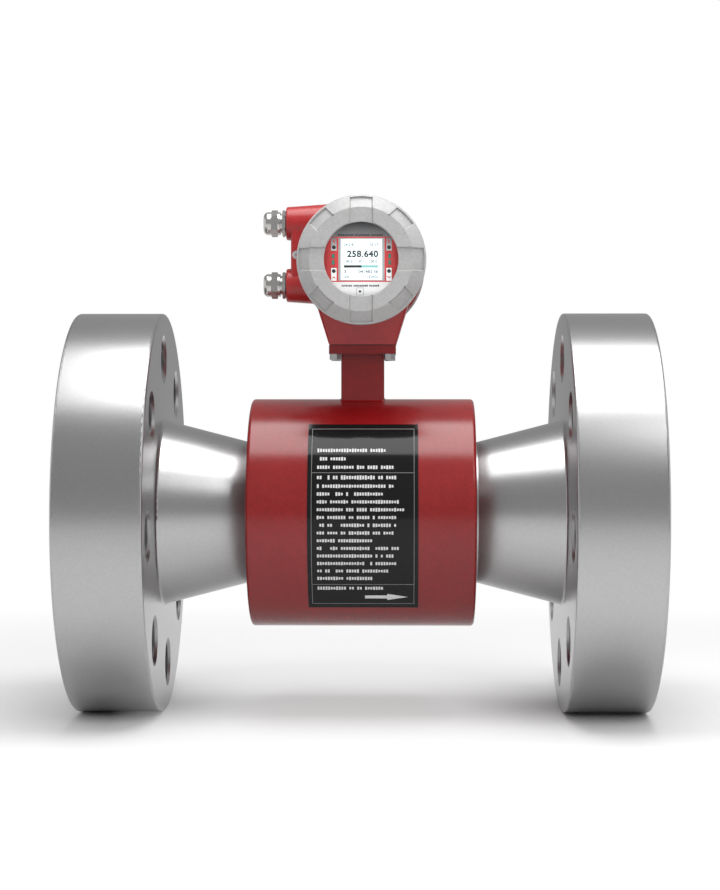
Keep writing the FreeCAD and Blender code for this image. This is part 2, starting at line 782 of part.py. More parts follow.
def window_gasket():
    """Flat ring between the glass and the lip of the cap."""
    return aimed(ring(glass_front, glass_front + window_gasket_thickness,
                      window_r + window_gasket_inset, glass_r), head_point(), FRONT)


def window_glass():
    """Round sight glass with ground edges."""
    return aimed(turned([(glass_back, 0), (glass_back, glass_r, 0.5),
                         (glass_front, glass_r, 0.5), (glass_front, 0)]), head_point(), FRONT)


def window_retaining_ring():
    """Threaded ring with two key slots that presses the glass home."""
    low = glass_back - retaining_ring_thickness
    band = ring(low, glass_back, glass_r - retaining_ring_lap, retaining_ring_r)
    slot = block((low, low + 1.5), (-2, 2), (-glass_d, glass_d))
    return aimed(band.cut(slot), head_point(), FRONT)


# ---- display and electronics ------------------------------------------------------------
def key_places():
    """Middle of each touch window: across and above the head's axis."""
    return [(side * key_x, z) for side in (-1, 1) for z in (key_upper, key_lower)]


def lamp_places():
    """Middle of each status lamp: across and above the head's axis."""
    return [(side * lamp_x, z) for side in (-1, 1) for z in lamp_heights]


def display_fascia():
    """Round front plate of the display with a skirt over its board."""
    outer_r = fascia_d / 2
    inner_r = outer_r - fascia_skirt_wall
    plate_back = fascia_height - fascia_face
    fascia = aimed(turned([
        (plate_back, 0), (plate_back, inner_r), (display_board_height, inner_r),
        (display_board_height, outer_r), (fascia_height, outer_r, 0.6), (fascia_height, 0)]),
        head_point(), FRONT)
    spare = 2 * opening_gap
    cuts = [head_block(lcd_width + spare, lcd_tall + spare, 0, lcd_rise, 0, cap_depth)]
    cuts += [head_block(key_width + spare, key_tall + spare, x, z, 0, cap_depth)
             for x, z in key_places()]
    cuts += [head_block(lamp_width + spare, lamp_tall + spare, x, z, 0, cap_depth)
             for x, z in lamp_places()]
    return fascia.cut(cuts)


def lcd_module():
    """Frame of the display, standing on its board, with the recess for the screen."""
    top = fascia_height + 0.1
    frame = head_block(lcd_width, lcd_tall, 0, lcd_rise, display_board_front, top)
    recess = head_block(screen_width + 0.1, screen_tall + 0.1, 0, lcd_rise,
                        top - screen_recess - screen_thickness, top + 1)
    return frame.cut(recess)


def lcd_screen():
    """Screen in the frame of the display."""
    top = fascia_height + 0.1 - screen_recess
    return head_block(screen_width, screen_tall, 0, lcd_rise, top - screen_thickness, top)


def optical_keys():
    """Windows of the four touch keys, from the board to just proud of the fascia."""
    return Part.makeCompound([
        head_block(key_width, key_tall, x, z, display_board_front, fascia_height + key_proud)
        for x, z in key_places()])


def status_lamps():
    """Light guides of the status lamps."""
    return Part.makeCompound([
        head_block(lamp_width, lamp_tall, x, z, display_board_front, fascia_height + key_proud)
        for x, z in lamp_places()])


def round_board(diameter, front):
    """Circuit board with its front face at a height above the cap shoulder."""
    return aimed(ring(front - board_thickness, front, 0, diameter / 2), head_point(), FRONT)


def display_board():
    """Board of the display, inside the fascia's skirt."""
    return round_board(fascia_d - 2 * (fascia_skirt_wall + free_gap), display_board_front)


def main_board():
    """Signal board in the front chamber."""
    return round_board(main_board_d, main_board_front)


def board_standoffs():
    """Pillars from the partition to the signal board and on to the display board."""
    floor = front_shoulder - partition_front
    stages = [(-floor, main_board_front - board_thickness), (main_board_front, display_board_height)]
    pillars = []
    for low, high in stages:
        for i in range(4):
            angle = math.radians(45 + 90 * i)
            across = pillar_circle_d / 2
            foot = head_point(0, across * math.cos(angle), across * math.sin(angle))
            pillars.append(rod(pillar_d / 2, low, high, foot, FRONT))
    return Part.makeCompound(pillars)


def transformer():
    """Iron core with a winding, behind the signal board."""
    width, deep, tall = transformer_size
    high = main_board_front - board_thickness
    rise = transformer_rise
    core = head_block(width, tall, 0, rise, high - deep, high)
    windows = [head_block(transformer_window, tall - transformer_window * 1.6, x, rise,
                          high - deep - 1, high + 1) for x in (-width / 4, width / 4)]
    winding = head_block(width / 2, tall + transformer_window * 0.75, 0, rise,
                         high - deep * 0.8, high - deep * 0.2)
    return core.cut(windows).fuse(winding).removeSplitter()


def capacitors():
    """Smoothing capacitors behind the signal board."""
    high = main_board_front - board_thickness
    cans = []
    for i in range(3):
        can = turned([(0, 0), (0, capacitor_d / 2),
                      (capacitor_height, capacitor_d / 2, capacitor_edge_round),
                      (capacitor_height, 0)])
        place = head_point(high, (i - 1) * capacitor_pitch, -capacitor_drop)
        cans.append(aimed(can, place, REAR))
    return Part.makeCompound(cans)


def terminal_places():
    """Across positions of the terminals."""
    pitch = terminal_size[0] / terminal_count
    return [(i - (terminal_count - 1) / 2) * pitch for i in range(terminal_count)]


def terminal_block():
    """Row of terminals on the rear of the partition, with wire ports below."""
    wide, deep, tall = terminal_size
    floor = rear_chamber_floor
    middle = head_axis_z + terminal_drop
    body = block((-wide / 2, wide / 2), (floor, floor + deep), (middle - tall / 2, middle + tall / 2))
    cuts = []
    for x in terminal_places():
        well_r = terminal_screw_d / 2 + free_gap
        cuts.append(rod(well_r, deep - terminal_screw_depth - 1.5, deep + 1,
                        V(x, floor, middle + tall / 5), REAR))
        cuts.append(block((x - terminal_port / 2, x + terminal_port / 2),
                          (floor + deep / 4, floor + deep / 4 + terminal_port),
                          (middle - tall / 2 - 1, middle - tall / 2 + 10)))
    return body.cut(cuts)


def terminal_screws():
    """Slotted screws of the terminals."""
    deep, tall = terminal_size[1:]
    seat = rear_chamber_floor + deep - terminal_screw_depth - 1.5
    screws = []
    for x in terminal_places():
        screw = ring(0, terminal_screw_depth, 0, terminal_screw_d / 2)
        slot = block((terminal_screw_depth - 1, terminal_screw_depth + 1), (-0.5, 0.5),
                     (-terminal_screw_d, terminal_screw_d))
        place = V(x, seat, head_axis_z + terminal_drop + tall / 5)
        screws.append(aimed(screw.cut(slot), place, REAR))
    return Part.makeCompound(screws)


# ---- cable glands -----------------------------------------------------------------------
def at_entry(shape, z):
    """A gland part, made from the entry's face outwards, moved to the entry at height z."""
    return aimed(shape, V(-entry_face_x, 0, z), V(-1, 0, 0))


def gland_washer(z):
    """Flat seal between the entry's face and the gland."""
    return at_entry(ring(0, gland_washer_thickness, entry_thread_d / 2 + free_gap,
                         gland_washer_d / 2), z)


def gland_body(z):
    """Body of the gland: entry thread, hexagon, and the thread that carries the nut."""
    male_r = gland_male_d / 2
    body = hexagon(gland_flats, gland_washer_thickness, gland_hex_top, chamfer=1.0)
    body = body.fuse(turned([
        (-gland_thread_length, 0), (-gland_thread_length, gland_thread_d / 2, 1.0),
        (gland_washer_thickness + 1, gland_thread_d / 2), (gland_washer_thickness + 1, male_r),
        (gland_male_end, male_r, 0.8), (gland_male_end, 0)]))
    bore = turned([
        (-gland_thread_length - 1, 0), (-gland_thread_length - 1, gland_bore_d / 2),
        (gland_male_end - gland_cage_depth, gland_bore_d / 2),
        (gland_male_end - gland_cage_depth, gland_cage_d / 2),
        (gland_male_end + 1, gland_cage_d / 2), (gland_male_end + 1, 0)])
    return at_entry(body.cut(bore), z)


def gland_seal(z):
    """Rubber sleeve that the nut presses around the cable."""
    head_r = nut_inner_r - 2 * bond_gap - free_gap
    tail_r = gland_cage_d / 2 - free_gap
    head_start = gland_male_end + free_gap
    return at_entry(turned([
        (head_start - seal_tail_length, seal_hole_d / 2),
        (head_start - seal_tail_length, tail_r, 0.6), (head_start, tail_r),
        (head_start, head_r), (head_start + seal_head_length, head_r, 0.8),
        (head_start + seal_head_length, seal_hole_d / 2)]), z)


def gland_nut(z):
    """Domed cap nut of the gland with its hexagon and collar."""
    outer_r = nut_collar_d / 2
    nut = turned([
        (nut_start, 0), (nut_start, outer_r, 0.5), (nut_end, outer_r, nut_dome_round),
        (nut_end, 0)])
    nut = nut.fuse(hexagon(gland_flats, nut_hex_start, nut_dome_start, chamfer=1.0))
    pocket = turned([
        (nut_start - 1, 0), (nut_start - 1, nut_inner_r), (nut_pocket_end, nut_inner_r),
        (nut_pocket_end, nut_mouth_d / 2), (nut_end - 1, nut_mouth_d / 2),
        (nut_end + 1, nut_mouth_d / 2 + 2), (nut_end + 1, 0)])
    return at_entry(nut.cut(pocket), z)


# ---- all pieces -------------------------------------------------------------------------
def pieces():
    """Every piece of the meter by its name."""
    nodes = {f.__name__: f() for f in (
        measuring_tube, liner, left_flange, right_flange, electrode_springs, electrode_nuts,
        magnet_yoke, housing_shell, left_end_plate, right_end_plate, nameplate, neck,
        neck_gasket, head_bolts, converter_housing, front_cap, rear_cap, front_cap_o_ring,
        rear_cap_o_ring, window_gasket, window_glass, window_retaining_ring, display_fascia,
        lcd_module, lcd_screen, optical_keys, status_lamps, display_board, main_board,
        board_standoffs, transformer, capacitors, terminal_block, terminal_screws)}
    for name, side in (("front", FRONT), ("rear", REAR)):
        nodes["electrode_" + name] = electrode(side)
        nodes["electrode_bush_" + name] = electrode_bush(side)
    for name, up in (("upper", True), ("lower", False)):
        nodes["pole_shoe_" + name] = pole_shoe(up)
        nodes["coil_" + name] = coil(up)
    for name, z in (("upper", entry_upper_z), ("lower", entry_lower_z)):
        nodes["gland_washer_" + name] = gland_washer(z)
        nodes["gland_body_" + name] = gland_body(z)
        nodes["gland_seal_" + name] = gland_seal(z)
        nodes["gland_nut_" + name] = gland_nut(z)
    return nodes


os.makedirs("parts", exist_ok=True)
for node, shape in pieces().items():
    shape.exportStep("parts/" + node + ".step")
    print(node, len(shape.Solids), "solids", round(shape.Volume / 1000, 2), "cm3", shape.isValid())
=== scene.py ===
import json
import math
import random

import bmesh
import bpy
from mathutils import Matrix, Vector


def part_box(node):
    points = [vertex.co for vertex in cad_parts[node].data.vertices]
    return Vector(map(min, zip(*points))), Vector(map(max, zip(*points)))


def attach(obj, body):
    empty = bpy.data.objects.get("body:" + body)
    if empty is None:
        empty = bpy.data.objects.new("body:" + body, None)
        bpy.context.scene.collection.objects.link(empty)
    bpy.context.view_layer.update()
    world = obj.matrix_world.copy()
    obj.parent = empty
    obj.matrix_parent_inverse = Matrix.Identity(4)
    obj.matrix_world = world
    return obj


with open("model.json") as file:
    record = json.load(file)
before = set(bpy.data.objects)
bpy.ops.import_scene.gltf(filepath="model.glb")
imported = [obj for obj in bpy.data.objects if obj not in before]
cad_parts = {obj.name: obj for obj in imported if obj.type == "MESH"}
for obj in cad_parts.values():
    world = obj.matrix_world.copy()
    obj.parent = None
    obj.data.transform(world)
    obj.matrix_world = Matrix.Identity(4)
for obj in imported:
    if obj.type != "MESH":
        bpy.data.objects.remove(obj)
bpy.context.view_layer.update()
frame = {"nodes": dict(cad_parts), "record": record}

MM = 0.001
nodes = frame["nodes"]
scene = bpy.context.scene


# ---- places read from the frame ----------------------------------------------------------
def middle(node):
    """Centre of a CAD node's box."""
    low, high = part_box(node)
    return (low + high) / 2


HEAD_Z = middle("window_glass").z
FLOOR_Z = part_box("left_flange")[0].z
PLATE_LOW, PLATE_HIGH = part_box("nameplate")
PLATE_R = -PLATE_LOW.y
SCREEN_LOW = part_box("lcd_screen")[0]
FASCIA_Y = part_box("display_fascia")[0].y
FRAME_LOW, FRAME_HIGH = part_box("lcd_module")


# ---- node trees --------------------------------------------------------------------------
def put(tree, kind, inputs=None, **settings):
    """One node. inputs maps a socket's name or number to a value or to the socket that feeds it."""
    node = tree.nodes.new(kind)
    for name, value in settings.items():
        setattr(node, name, value)
    for name, value in (inputs or {}).items():
        if isinstance(value, bpy.types.NodeSocket):
            tree.links.new(value, node.inputs[name])
        else:
            node.inputs[name].default_value = value
    return node


def math_node(tree, operation, *values, clamp=False):
    """Result of one sum of a tree."""
    inputs = dict(enumerate(values))
    return put(tree, "ShaderNodeMath", inputs, operation=operation, use_clamp=clamp).outputs[0]


def weighted(tree, first, share, second, other_share):
    """Sum of two values, each with its share."""
    return math_node(tree, "ADD", math_node(tree, "MULTIPLY", first, share),
                     math_node(tree, "MULTIPLY", second, other_share))


def axes(tree, vector):
    """X, Y and Z of a vector."""
    return put(tree, "ShaderNodeSeparateXYZ", {0: vector}).outputs


def blend_colours(tree, share, low, high):
    """Colour between two others by a mask."""
    share_socket, low_socket, high_socket, colour_socket = 0, 6, 7, 2
    inputs = {share_socket: share, low_socket: low, high_socket: high}
    return put(tree, "ShaderNodeMix", inputs, data_type="RGBA").outputs[colour_socket]


def new_group(name, inputs, outputs):
    """Empty shader group with float or colour sockets; a colour has a default of four numbers."""
    tree = bpy.data.node_groups.new(name, "ShaderNodeTree")
    for socket, default in inputs.items():
        kind = "NodeSocketColor" if isinstance(default, tuple) else "NodeSocketFloat"
        made = tree.interface.new_socket(socket, in_out="INPUT", socket_type=kind)
        made.default_value = default
    for socket, kind in outputs.items():
        tree.interface.new_socket(socket, in_out="OUTPUT", socket_type=kind)
    start = tree.nodes.new("NodeGroupInput").outputs
    end = tree.nodes.new("NodeGroupOutput").inputs
    return tree, start, end


def object_place(tree):
    """Object coordinates."""
    return put(tree, "ShaderNodeTexCoord").outputs["Object"]


def noise(tree, place, scale, detail=3.0, roughness=0.55):
    """Noise between about 0.25 and 0.75."""
    inputs = {"Vector": place, "Scale": scale, "Detail": detail, "Roughness": roughness}
    return put(tree, "ShaderNodeTexNoise", inputs).outputs["Fac"]


def spread(tree, value, low, high, to_low=0.0, to_high=1.0):
    """Value moved from one range to another, clamped."""
    inputs = dict(enumerate((value, low, high, to_low, to_high)))
    return put(tree, "ShaderNodeMapRange", inputs).outputs[0]


def grain_group():
    """Fine blasted or cast grain: a tint of the colour and a height."""
    tree, start, end = new_group(
        "grain", {"Colour": (0.5, 0.5, 0.5, 1.0), "Scale": 900.0, "Contrast": 0.15},
        {"Colour": "NodeSocketColor", "Height": "NodeSocketFloat"})
    place = object_place(tree)
    coarse_scale = math_node(tree, "MULTIPLY", start["Scale"], 0.31)
    fine = noise(tree, place, start["Scale"], detail=2.0, roughness=0.6)
    coarse = noise(tree, place, coarse_scale, detail=2.0)
    both = weighted(tree, fine, 0.65, coarse, 0.35)
    shade = math_node(tree, "MULTIPLY_ADD", math_node(tree, "SUBTRACT", both, 0.5),
                      start["Contrast"], 1.0)
    tint = put(tree, "ShaderNodeVectorMath", {0: start["Colour"], 3: shade}, operation="SCALE")
    tree.links.new(tint.outputs[0], end["Colour"])
    tree.links.new(both, end["Height"])
    return tree


def turning_group():
    """Marks of the lathe around the pipe axis: rings that change along the pipe and outwards."""
    tree, start, end = new_group("turning marks", {"Scale": 1400.0}, {"Height": "NodeSocketFloat"})
    apart = axes(tree, object_place(tree))
    squares = weighted(tree, apart["Y"], apart["Y"], apart["Z"], apart["Z"])
    from_axis = math_node(tree, "SQRT", squares)
    flat = put(tree, "ShaderNodeCombineXYZ", {"X": apart["X"], "Y": from_axis}).outputs[0]
    tree.links.new(noise(tree, flat, start["Scale"], detail=2.0), end["Height"])
    return tree


def handling_group():
    """Slow change of the gloss where a surface was touched, wiped and dusted."""
    tree, start, end = new_group(
        "handling", {"Gloss": 0.3, "Change": 0.05, "Scale": 14.0}, {"Roughness": "NodeSocketFloat"})
    place = object_place(tree)
    flattened = put(tree, "ShaderNodeMapping", {"Vector": place, "Scale": (1.0, 1.0, 6.0)})
    streak_scale = math_node(tree, "MULTIPLY", start["Scale"], 5.0)
    cloud = noise(tree, place, start["Scale"], detail=5.0, roughness=0.6)
    streak = noise(tree, flattened.outputs[0], streak_scale)
    both = math_node(tree, "ADD", cloud, math_node(tree, "MULTIPLY", streak, 0.4))
    centred = math_node(tree, "SUBTRACT", both, 0.7)
    doubled = math_node(tree, "MULTIPLY", start["Change"], 4.0)
    rough = math_node(tree, "MULTIPLY_ADD", centred, doubled, start["Gloss"], clamp=True)
    tree.links.new(rough, end["Roughness"])
    return tree


def peel_group():
    """Slight waviness of sprayed paint over a finer grain."""
    tree, start, end = new_group("paint skin", {"Scale": 420.0}, {"Height": "NodeSocketFloat"})
    place = object_place(tree)
    fine_scale = math_node(tree, "MULTIPLY", start["Scale"], 3.1)
    wave = noise(tree, place, start["Scale"], detail=1.0, roughness=0.4)
    fine = noise(tree, place, fine_scale, detail=2.0)
    tree.links.new(weighted(tree, wave, 0.6, fine, 0.4), end["Height"])
    return tree


GRAIN, TURNING, HANDLING, PEEL = grain_group(), turning_group(), handling_group(), peel_group()


def place_group(tree, group, values):
    """A shader group placed in a material with its own values."""
    return put(tree, "ShaderNodeGroup", values, node_tree=group).outputs


def blank(name, **constants):
    """Material with a Principled shader whose plain sockets are set."""
    material = bpy.data.materials.new(name)
    material.use_nodes = True
    tree = material.node_tree
    shader = tree.nodes["Principled BSDF"]
    for socket, value in constants.items():
        shader.inputs[socket.replace("_", " ")].default_value = value
    return material, tree, shader


def bump(tree, shader, height, strength, distance=0.1 * MM, before=None):
    """Height on the shader's Normal; before is an earlier bump's normal."""
    inputs = {"Height": height, "Strength": strength, "Distance": distance}
    if before is not None:
        inputs["Normal"] = before
    node = put(tree, "ShaderNodeBump", inputs)
    tree.links.new(node.outputs[0], shader.inputs["Normal"])
    return node.outputs[0]


def rgb(red, green, blue):
    """Linear colour with full alpha."""
    return (red, green, blue, 1.0)


def grey(level):
    """Neutral linear colour."""
    return rgb(level, level, level)


# ---- finishes ----------------------------------------------------------------------------
def uneven_gloss(tree, shader, gloss, change=0.05):
    """Roughness that changes slowly over the surface."""
    rough = place_group(tree, HANDLING, {"Gloss": gloss, "Change": change})
    tree.links.new(rough["Roughness"], shader.inputs["Roughness"])


def coat(tree, shader, colour, gloss, scale=2500.0, contrast=0.2, change=0.05):
    """Grained colour and uneven gloss; gives back the height of the grain."""
    grain = place_group(tree, GRAIN, {"Colour": colour, "Scale": scale, "Contrast": contrast})
    tree.links.new(grain["Colour"], shader.inputs["Base Color"])
    uneven_gloss(tree, shader, gloss, change)
    return grain["Height"]


def metal(name, colour, gloss, scale=900.0, contrast=0.15, relief=0.3, change=0.03, turned=False):
    """Bare metal with its grain, uneven gloss and, where it was turned, the marks of the lathe."""
    material, tree, shader = blank(name, Metallic=1.0)
    normal = bump(tree, shader, coat(tree, shader, colour, gloss, scale, contrast, change), relief)
    if turned:
        marks_relief, marks_depth = relief * 0.2, 0.03 * MM
        marks = place_group(tree, TURNING, {})
        bump(tree, shader, marks["Height"], marks_relief, marks_depth, before=normal)
    return material


def plain(name, colour, gloss, scale=700.0, contrast=0.3, relief=0.2, change=0.04, **constants):
    """Plastic, rubber, enamel or satin paint: one colour with grain and uneven gloss."""
    material, tree, shader = blank(name, **constants)
    bump(tree, shader, coat(tree, shader, colour, gloss, scale, contrast, change), relief)
    return material


def flange_steel():
    """Blasted stainless forging, turned on its rims and faces."""
    return metal("flange steel", rgb(0.44, 0.44, 0.445), 0.29, scale=1100.0, contrast=0.4,
                 relief=0.4, change=0.006, turned=True)


def tube_steel():
    """Drawn stainless tube."""
    return metal("tube steel", grey(0.48), 0.32, turned=True)


def paint(name, thin, full, gloss, skin, relief):
    """Sprayed paint over metal, a little thinner and darker in the clouds."""
    material, tree, shader = blank(name, IOR=1.5)
    cloud = spread(tree, noise(tree, object_place(tree), scale=9.0, detail=4.0), 0.35, 0.65)
    colour = blend_colours(tree, cloud, thin, full)
    coat(tree, shader, colour, gloss, scale=700.0, contrast=0.9, change=0.015)
    waves = place_group(tree, PEEL, {"Scale": skin})
    bump(tree, shader, waves["Height"], relief)
    return material


def red_paint():
    """Glossy red spray paint on the drum and the neck."""
    return paint("red paint", thin=rgb(0.186, 0.0055, 0.0065), full=rgb(0.212, 0.0075, 0.0085),
                 gloss=0.22, skin=520.0, relief=0.3)


def converter_paint():
    """Red of the converter: the drum's red paint made brighter as painted light, with a fine orange
    peel.
    """
    # Painted light: the same red as the drum's paint, only brighter.
    return paint("lit copy of red paint", thin=rgb(0.32, 0.011, 0.012), full=rgb(0.36, 0.013, 0.014),
                 gloss=0.33, skin=420.0, relief=0.25)


def cap_casting():
    """Die casting under satin silver paint, with a sandy speckle."""
    return plain("cap casting", rgb(0.39, 0.385, 0.385), 0.5, scale=800.0, contrast=0.6,
                 relief=0.5, change=0.03, Metallic=0.12, Specular_IOR_Level=0.3)


def nickel():
    """Bright nickel plate on turned brass."""
    return metal("nickel", rgb(0.54, 0.53, 0.515), 0.23, scale=2200.0, contrast=0.1, relief=0.1)


def screw_steel():
    """Stainless screws."""
    return metal("screw steel", grey(0.52), 0.3, scale=2500.0, relief=0.2)


def electrode_steel():
    """Polished electrode alloy."""
    return metal("electrode steel", rgb(0.5, 0.49, 0.48), 0.12, scale=2500.0, relief=0.05)


def spring_steel():
    """Dark rolled spring steel."""
    return metal("spring steel", rgb(0.3, 0.3, 0.32), 0.3)


def core_iron():
    """Soft iron with a thin phosphate coat."""
    return metal("core iron", rgb(0.16, 0.16, 0.165), 0.5, contrast=0.5)


def winding():
    """Enamelled copper wire, turn beside turn, with painted shade in the grooves between the turns.
    """
    material, tree, shader = blank("winding", Metallic=0.85)
    height = put(tree, "ShaderNodeTexWave", {"Vector": object_place(tree), "Scale": 500.0},
                 wave_type="BANDS", bands_direction="Z", wave_profile="SIN").outputs["Fac"]
    # Painted shade: the copper is darker in the grooves between the turns than on their crests.
    colour = blend_colours(tree, height, rgb(0.22, 0.06, 0.02), rgb(0.52, 0.19, 0.07))
    tree.links.new(colour, shader.inputs["Base Color"])
    uneven_gloss(tree, shader, 0.3)
    bump(tree, shader, height, strength=0.8, distance=0.4 * MM)
    return material


def liner_plastic():
    """White fluoropolymer, slightly waxy."""
    return plain("liner plastic", rgb(0.78, 0.78, 0.76), 0.35, scale=300.0, contrast=0.08,
                 Subsurface_Weight=0.05, Subsurface_Scale=0.002)


def bush_plastic():
    """Cream insulating bush."""
    return plain("bush plastic", rgb(0.62, 0.58, 0.48), 0.4)


def plate_black():
    """Black anodised plate under a clear, wiped film."""
    return plain("plate black", rgb(0.007, 0.007, 0.0073), 0.4, scale=1800.0, contrast=0.8,
                 relief=0.05, change=0.05, Specular_IOR_Level=0.0, Coat_Weight=0.45,
                 Coat_Roughness=0.1, Coat_IOR=1.5)


def seal_rubber():
    """Black nitrile rubber with a light bloom."""
    return plain("seal rubber", rgb(0.018, 0.018, 0.019), 0.55, contrast=0.6)


def sight_glass():
    """Clear glass that shows its gloss more at the edge of the view than face on."""
    material, tree, shader = blank("sight glass")
    coat(tree, shader, rgb(0.12, 0.13, 0.13), 0.04, scale=60.0, contrast=0.05, change=0.01)
    edge = put(tree, "ShaderNodeFresnel", {"IOR": 1.5}).outputs[0]
    seen = math_node(tree, "MULTIPLY_ADD", edge, 0.9, 0.02, clamp=True)
    inside = put(tree, "ShaderNodeNewGeometry").outputs["Backfacing"]
    front_only = math_node(tree, "MULTIPLY", seen, math_node(tree, "SUBTRACT", 1.0, inside))
    tree.links.new(front_only, shader.inputs["Alpha"])
    return material


def fascia_film():
    """Printed film behind the window: dark above the display, red beside it, silver below, with
    painted shade at the top and painted light at the bottom.
    """
    material, tree, shader = blank("fascia film")
    height = axes(tree, object_place(tree))["Z"]
    top, bottom, fade = FRAME_HIGH.z, FRAME_LOW.z, 14 * MM
    # Painted shade: the dark print is darker towards its top, as the shade of the window rim.
    dark = blend_colours(tree, spread(tree, height, top, top + fade),
                         rgb(0.16, 0.16, 0.165), rgb(0.10, 0.10, 0.103))
    # Painted light: the silver print is paler towards the bottom.
    silver = blend_colours(tree, spread(tree, height, bottom - fade, bottom),
                           grey(0.80), grey(0.66))
    red = rgb(0.53, 0.036, 0.038)
    above = math_node(tree, "GREATER_THAN", height, top)
    below = math_node(tree, "LESS_THAN", height, bottom)
    colour = blend_colours(tree, below, blend_colours(tree, above, red, dark), silver)
    coat(tree, shader, colour, 0.35)
    return material


def display_frame():
    """Grey bezel of the display, in painted shade a little darker towards its left edge."""
    material, tree, shader = blank("display frame")
    across = axes(tree, object_place(tree))["X"]
    # Painted shade: the bezel is darker towards its left edge.
    share = spread(tree, across, FRAME_LOW.x, FRAME_HIGH.x)
    colour = blend_colours(tree, share, rgb(0.30, 0.29, 0.29), rgb(0.33, 0.34, 0.345))
    tree.links.new(colour, shader.inputs["Base Color"])
    uneven_gloss(tree, shader, 0.4)
    return material


def display_screen():
    """Backlit liquid crystal: a pale blue glow in fine dots, a little uneven."""
    material, tree, shader = blank("display screen", Emission_Strength=0.24)
    place = object_place(tree)
    apart = axes(tree, place)
    dot_pitch = 0.33 * MM
    waves = 4 * math.pi / dot_pitch
    rows = math_node(tree, "SINE", math_node(tree, "MULTIPLY", apart["Z"], waves))
    columns = math_node(tree, "SINE", math_node(tree, "MULTIPLY", apart["X"], waves))
    mask = spread(tree, math_node(tree, "MAXIMUM", rows, columns), 0.8, 1.0)
    glow = blend_colours(tree, mask, rgb(0.78, 0.90, 0.94), rgb(0.70, 0.83, 0.88))
    cloud = spread(tree, noise(tree, place, scale=40.0), 0.3, 0.7)
    glow = blend_colours(tree, cloud, glow, rgb(0.80, 0.91, 0.95))
    tree.links.new(glow, shader.inputs["Base Color"])
    tree.links.new(glow, shader.inputs["Emission Color"])
    uneven_gloss(tree, shader, 0.5)
    return material


def key_film():
    """Light grey touch windows, in the shade of the rim at the top."""
    material, tree, shader = blank("key film")
    height = axes(tree, object_place(tree))["Z"]
    share = spread(tree, height, HEAD_Z, FRAME_HIGH.z + 2 * MM)
    coat(tree, shader, blend_colours(tree, share, grey(0.78), rgb(0.12, 0.12, 0.123)), 0.35)
    return material


def lamp_lens():
    """Green lens of a lamp that is off."""
    return plain("lamp lens", rgb(0.03, 0.20, 0.14), 0.25, relief=0.1)


def circuit_board():
    """Green solder mask with brighter copper tracks under it."""
    material, tree, shader = blank("circuit board")
    tracks = put(tree, "ShaderNodeTexBrick", {"Vector": object_place(tree), "Scale": 220.0,
                                              "Mortar Size": 0.03}).outputs["Fac"]
    mask = math_node(tree, "GREATER_THAN", tracks, 0.5)
    colour = blend_colours(tree, mask, rgb(0.01, 0.075, 0.03), rgb(0.03, 0.16, 0.06))
    tree.links.new(colour, shader.inputs["Base Color"])
    uneven_gloss(tree, shader, 0.35)
    bump(tree, shader, tracks, strength=0.2)
    return material


def capacitor_sleeve():
    """Dark blue shrink sleeve."""
    return plain("capacitor sleeve", rgb(0.012, 0.02, 0.07), 0.3)


def terminal_plastic():
    """Grey-green terminal housings."""
    return plain("terminal plastic", rgb(0.12, 0.2, 0.15), 0.4)


def ink(name, colour, gloss=0.4, contrast=0.3):
    """Thin smooth print in one colour."""
    return plain(name, colour, gloss, scale=2500.0, contrast=contrast, relief=0.05)


def light_ink():
    """Pale grey print on the black plate."""
    return ink("light ink", grey(0.55), gloss=0.35, contrast=0.4)


def line_ink():
    """Thin grey lines of the plate and of the touch spot."""
    return ink("line ink", grey(0.16), gloss=0.35, contrast=0.4)


def red_ink():
    """Red print on the fascia and on the keys."""
    return ink("red ink", rgb(0.56, 0.02, 0.025), gloss=0.35)


def dark_ink():
    """Dark print and dark segments."""
    return ink("dark ink", rgb(0.018, 0.019, 0.02))


def grey_ink():
    """Small segments of the display, which look grey."""
    return ink("grey ink", rgb(0.05, 0.058, 0.06))


def teal_ink():
    """Rest of the bar graph."""
    return ink("teal ink", rgb(0.22, 0.46, 0.45))


FINISHES = {make.__name__: make() for make in (
    red_paint, converter_paint, flange_steel, tube_steel, cap_casting, nickel, screw_steel,
    liner_plastic, bush_plastic, electrode_steel, spring_steel, core_iron, winding, plate_black,
    seal_rubber, sight_glass, fascia_film, display_frame, display_screen, key_film, lamp_lens,
    circuit_board, capacitor_sleeve, terminal_plastic, light_ink, line_ink, red_ink, dark_ink,
    grey_ink, teal_ink)}


def dress_nodes():
    """Gives every CAD node the finish of its material slot."""
    for part in frame["record"]["subparts"]:
        finish = FINISHES[part["material_slot"]]
        # The converter housing gets the brighter copy of the red paint, as painted light.
        if part["node"] == "converter_housing":
            finish = FINISHES["converter_paint"]
        for slot in nodes[part["node"]].material_slots:
            slot.material = finish


# ---- pieces of mesh ----------------------------------------------------------------------
MERGE_DISTANCE = 1e-7


def piece(name, mesh, finish, body):
    """A finished piece that rides on a body."""
    mesh.name = name
    made = bpy.data.objects.new(name, mesh)
    scene.collection.objects.link(made)
    mesh.materials.clear()
    mesh.materials.append(FINISHES[finish])
    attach(made, body)
    return made


def mesh_from(work):
    """Mesh of a bmesh with its faces turned outwards."""
    bmesh.ops.remove_doubles(work, verts=work.verts, dist=MERGE_DISTANCE)
    bmesh.ops.recalc_face_normals(work, faces=work.faces)
    mesh = bpy.data.meshes.new("work")
    work.to_mesh(mesh)
    work.free()
    return mesh


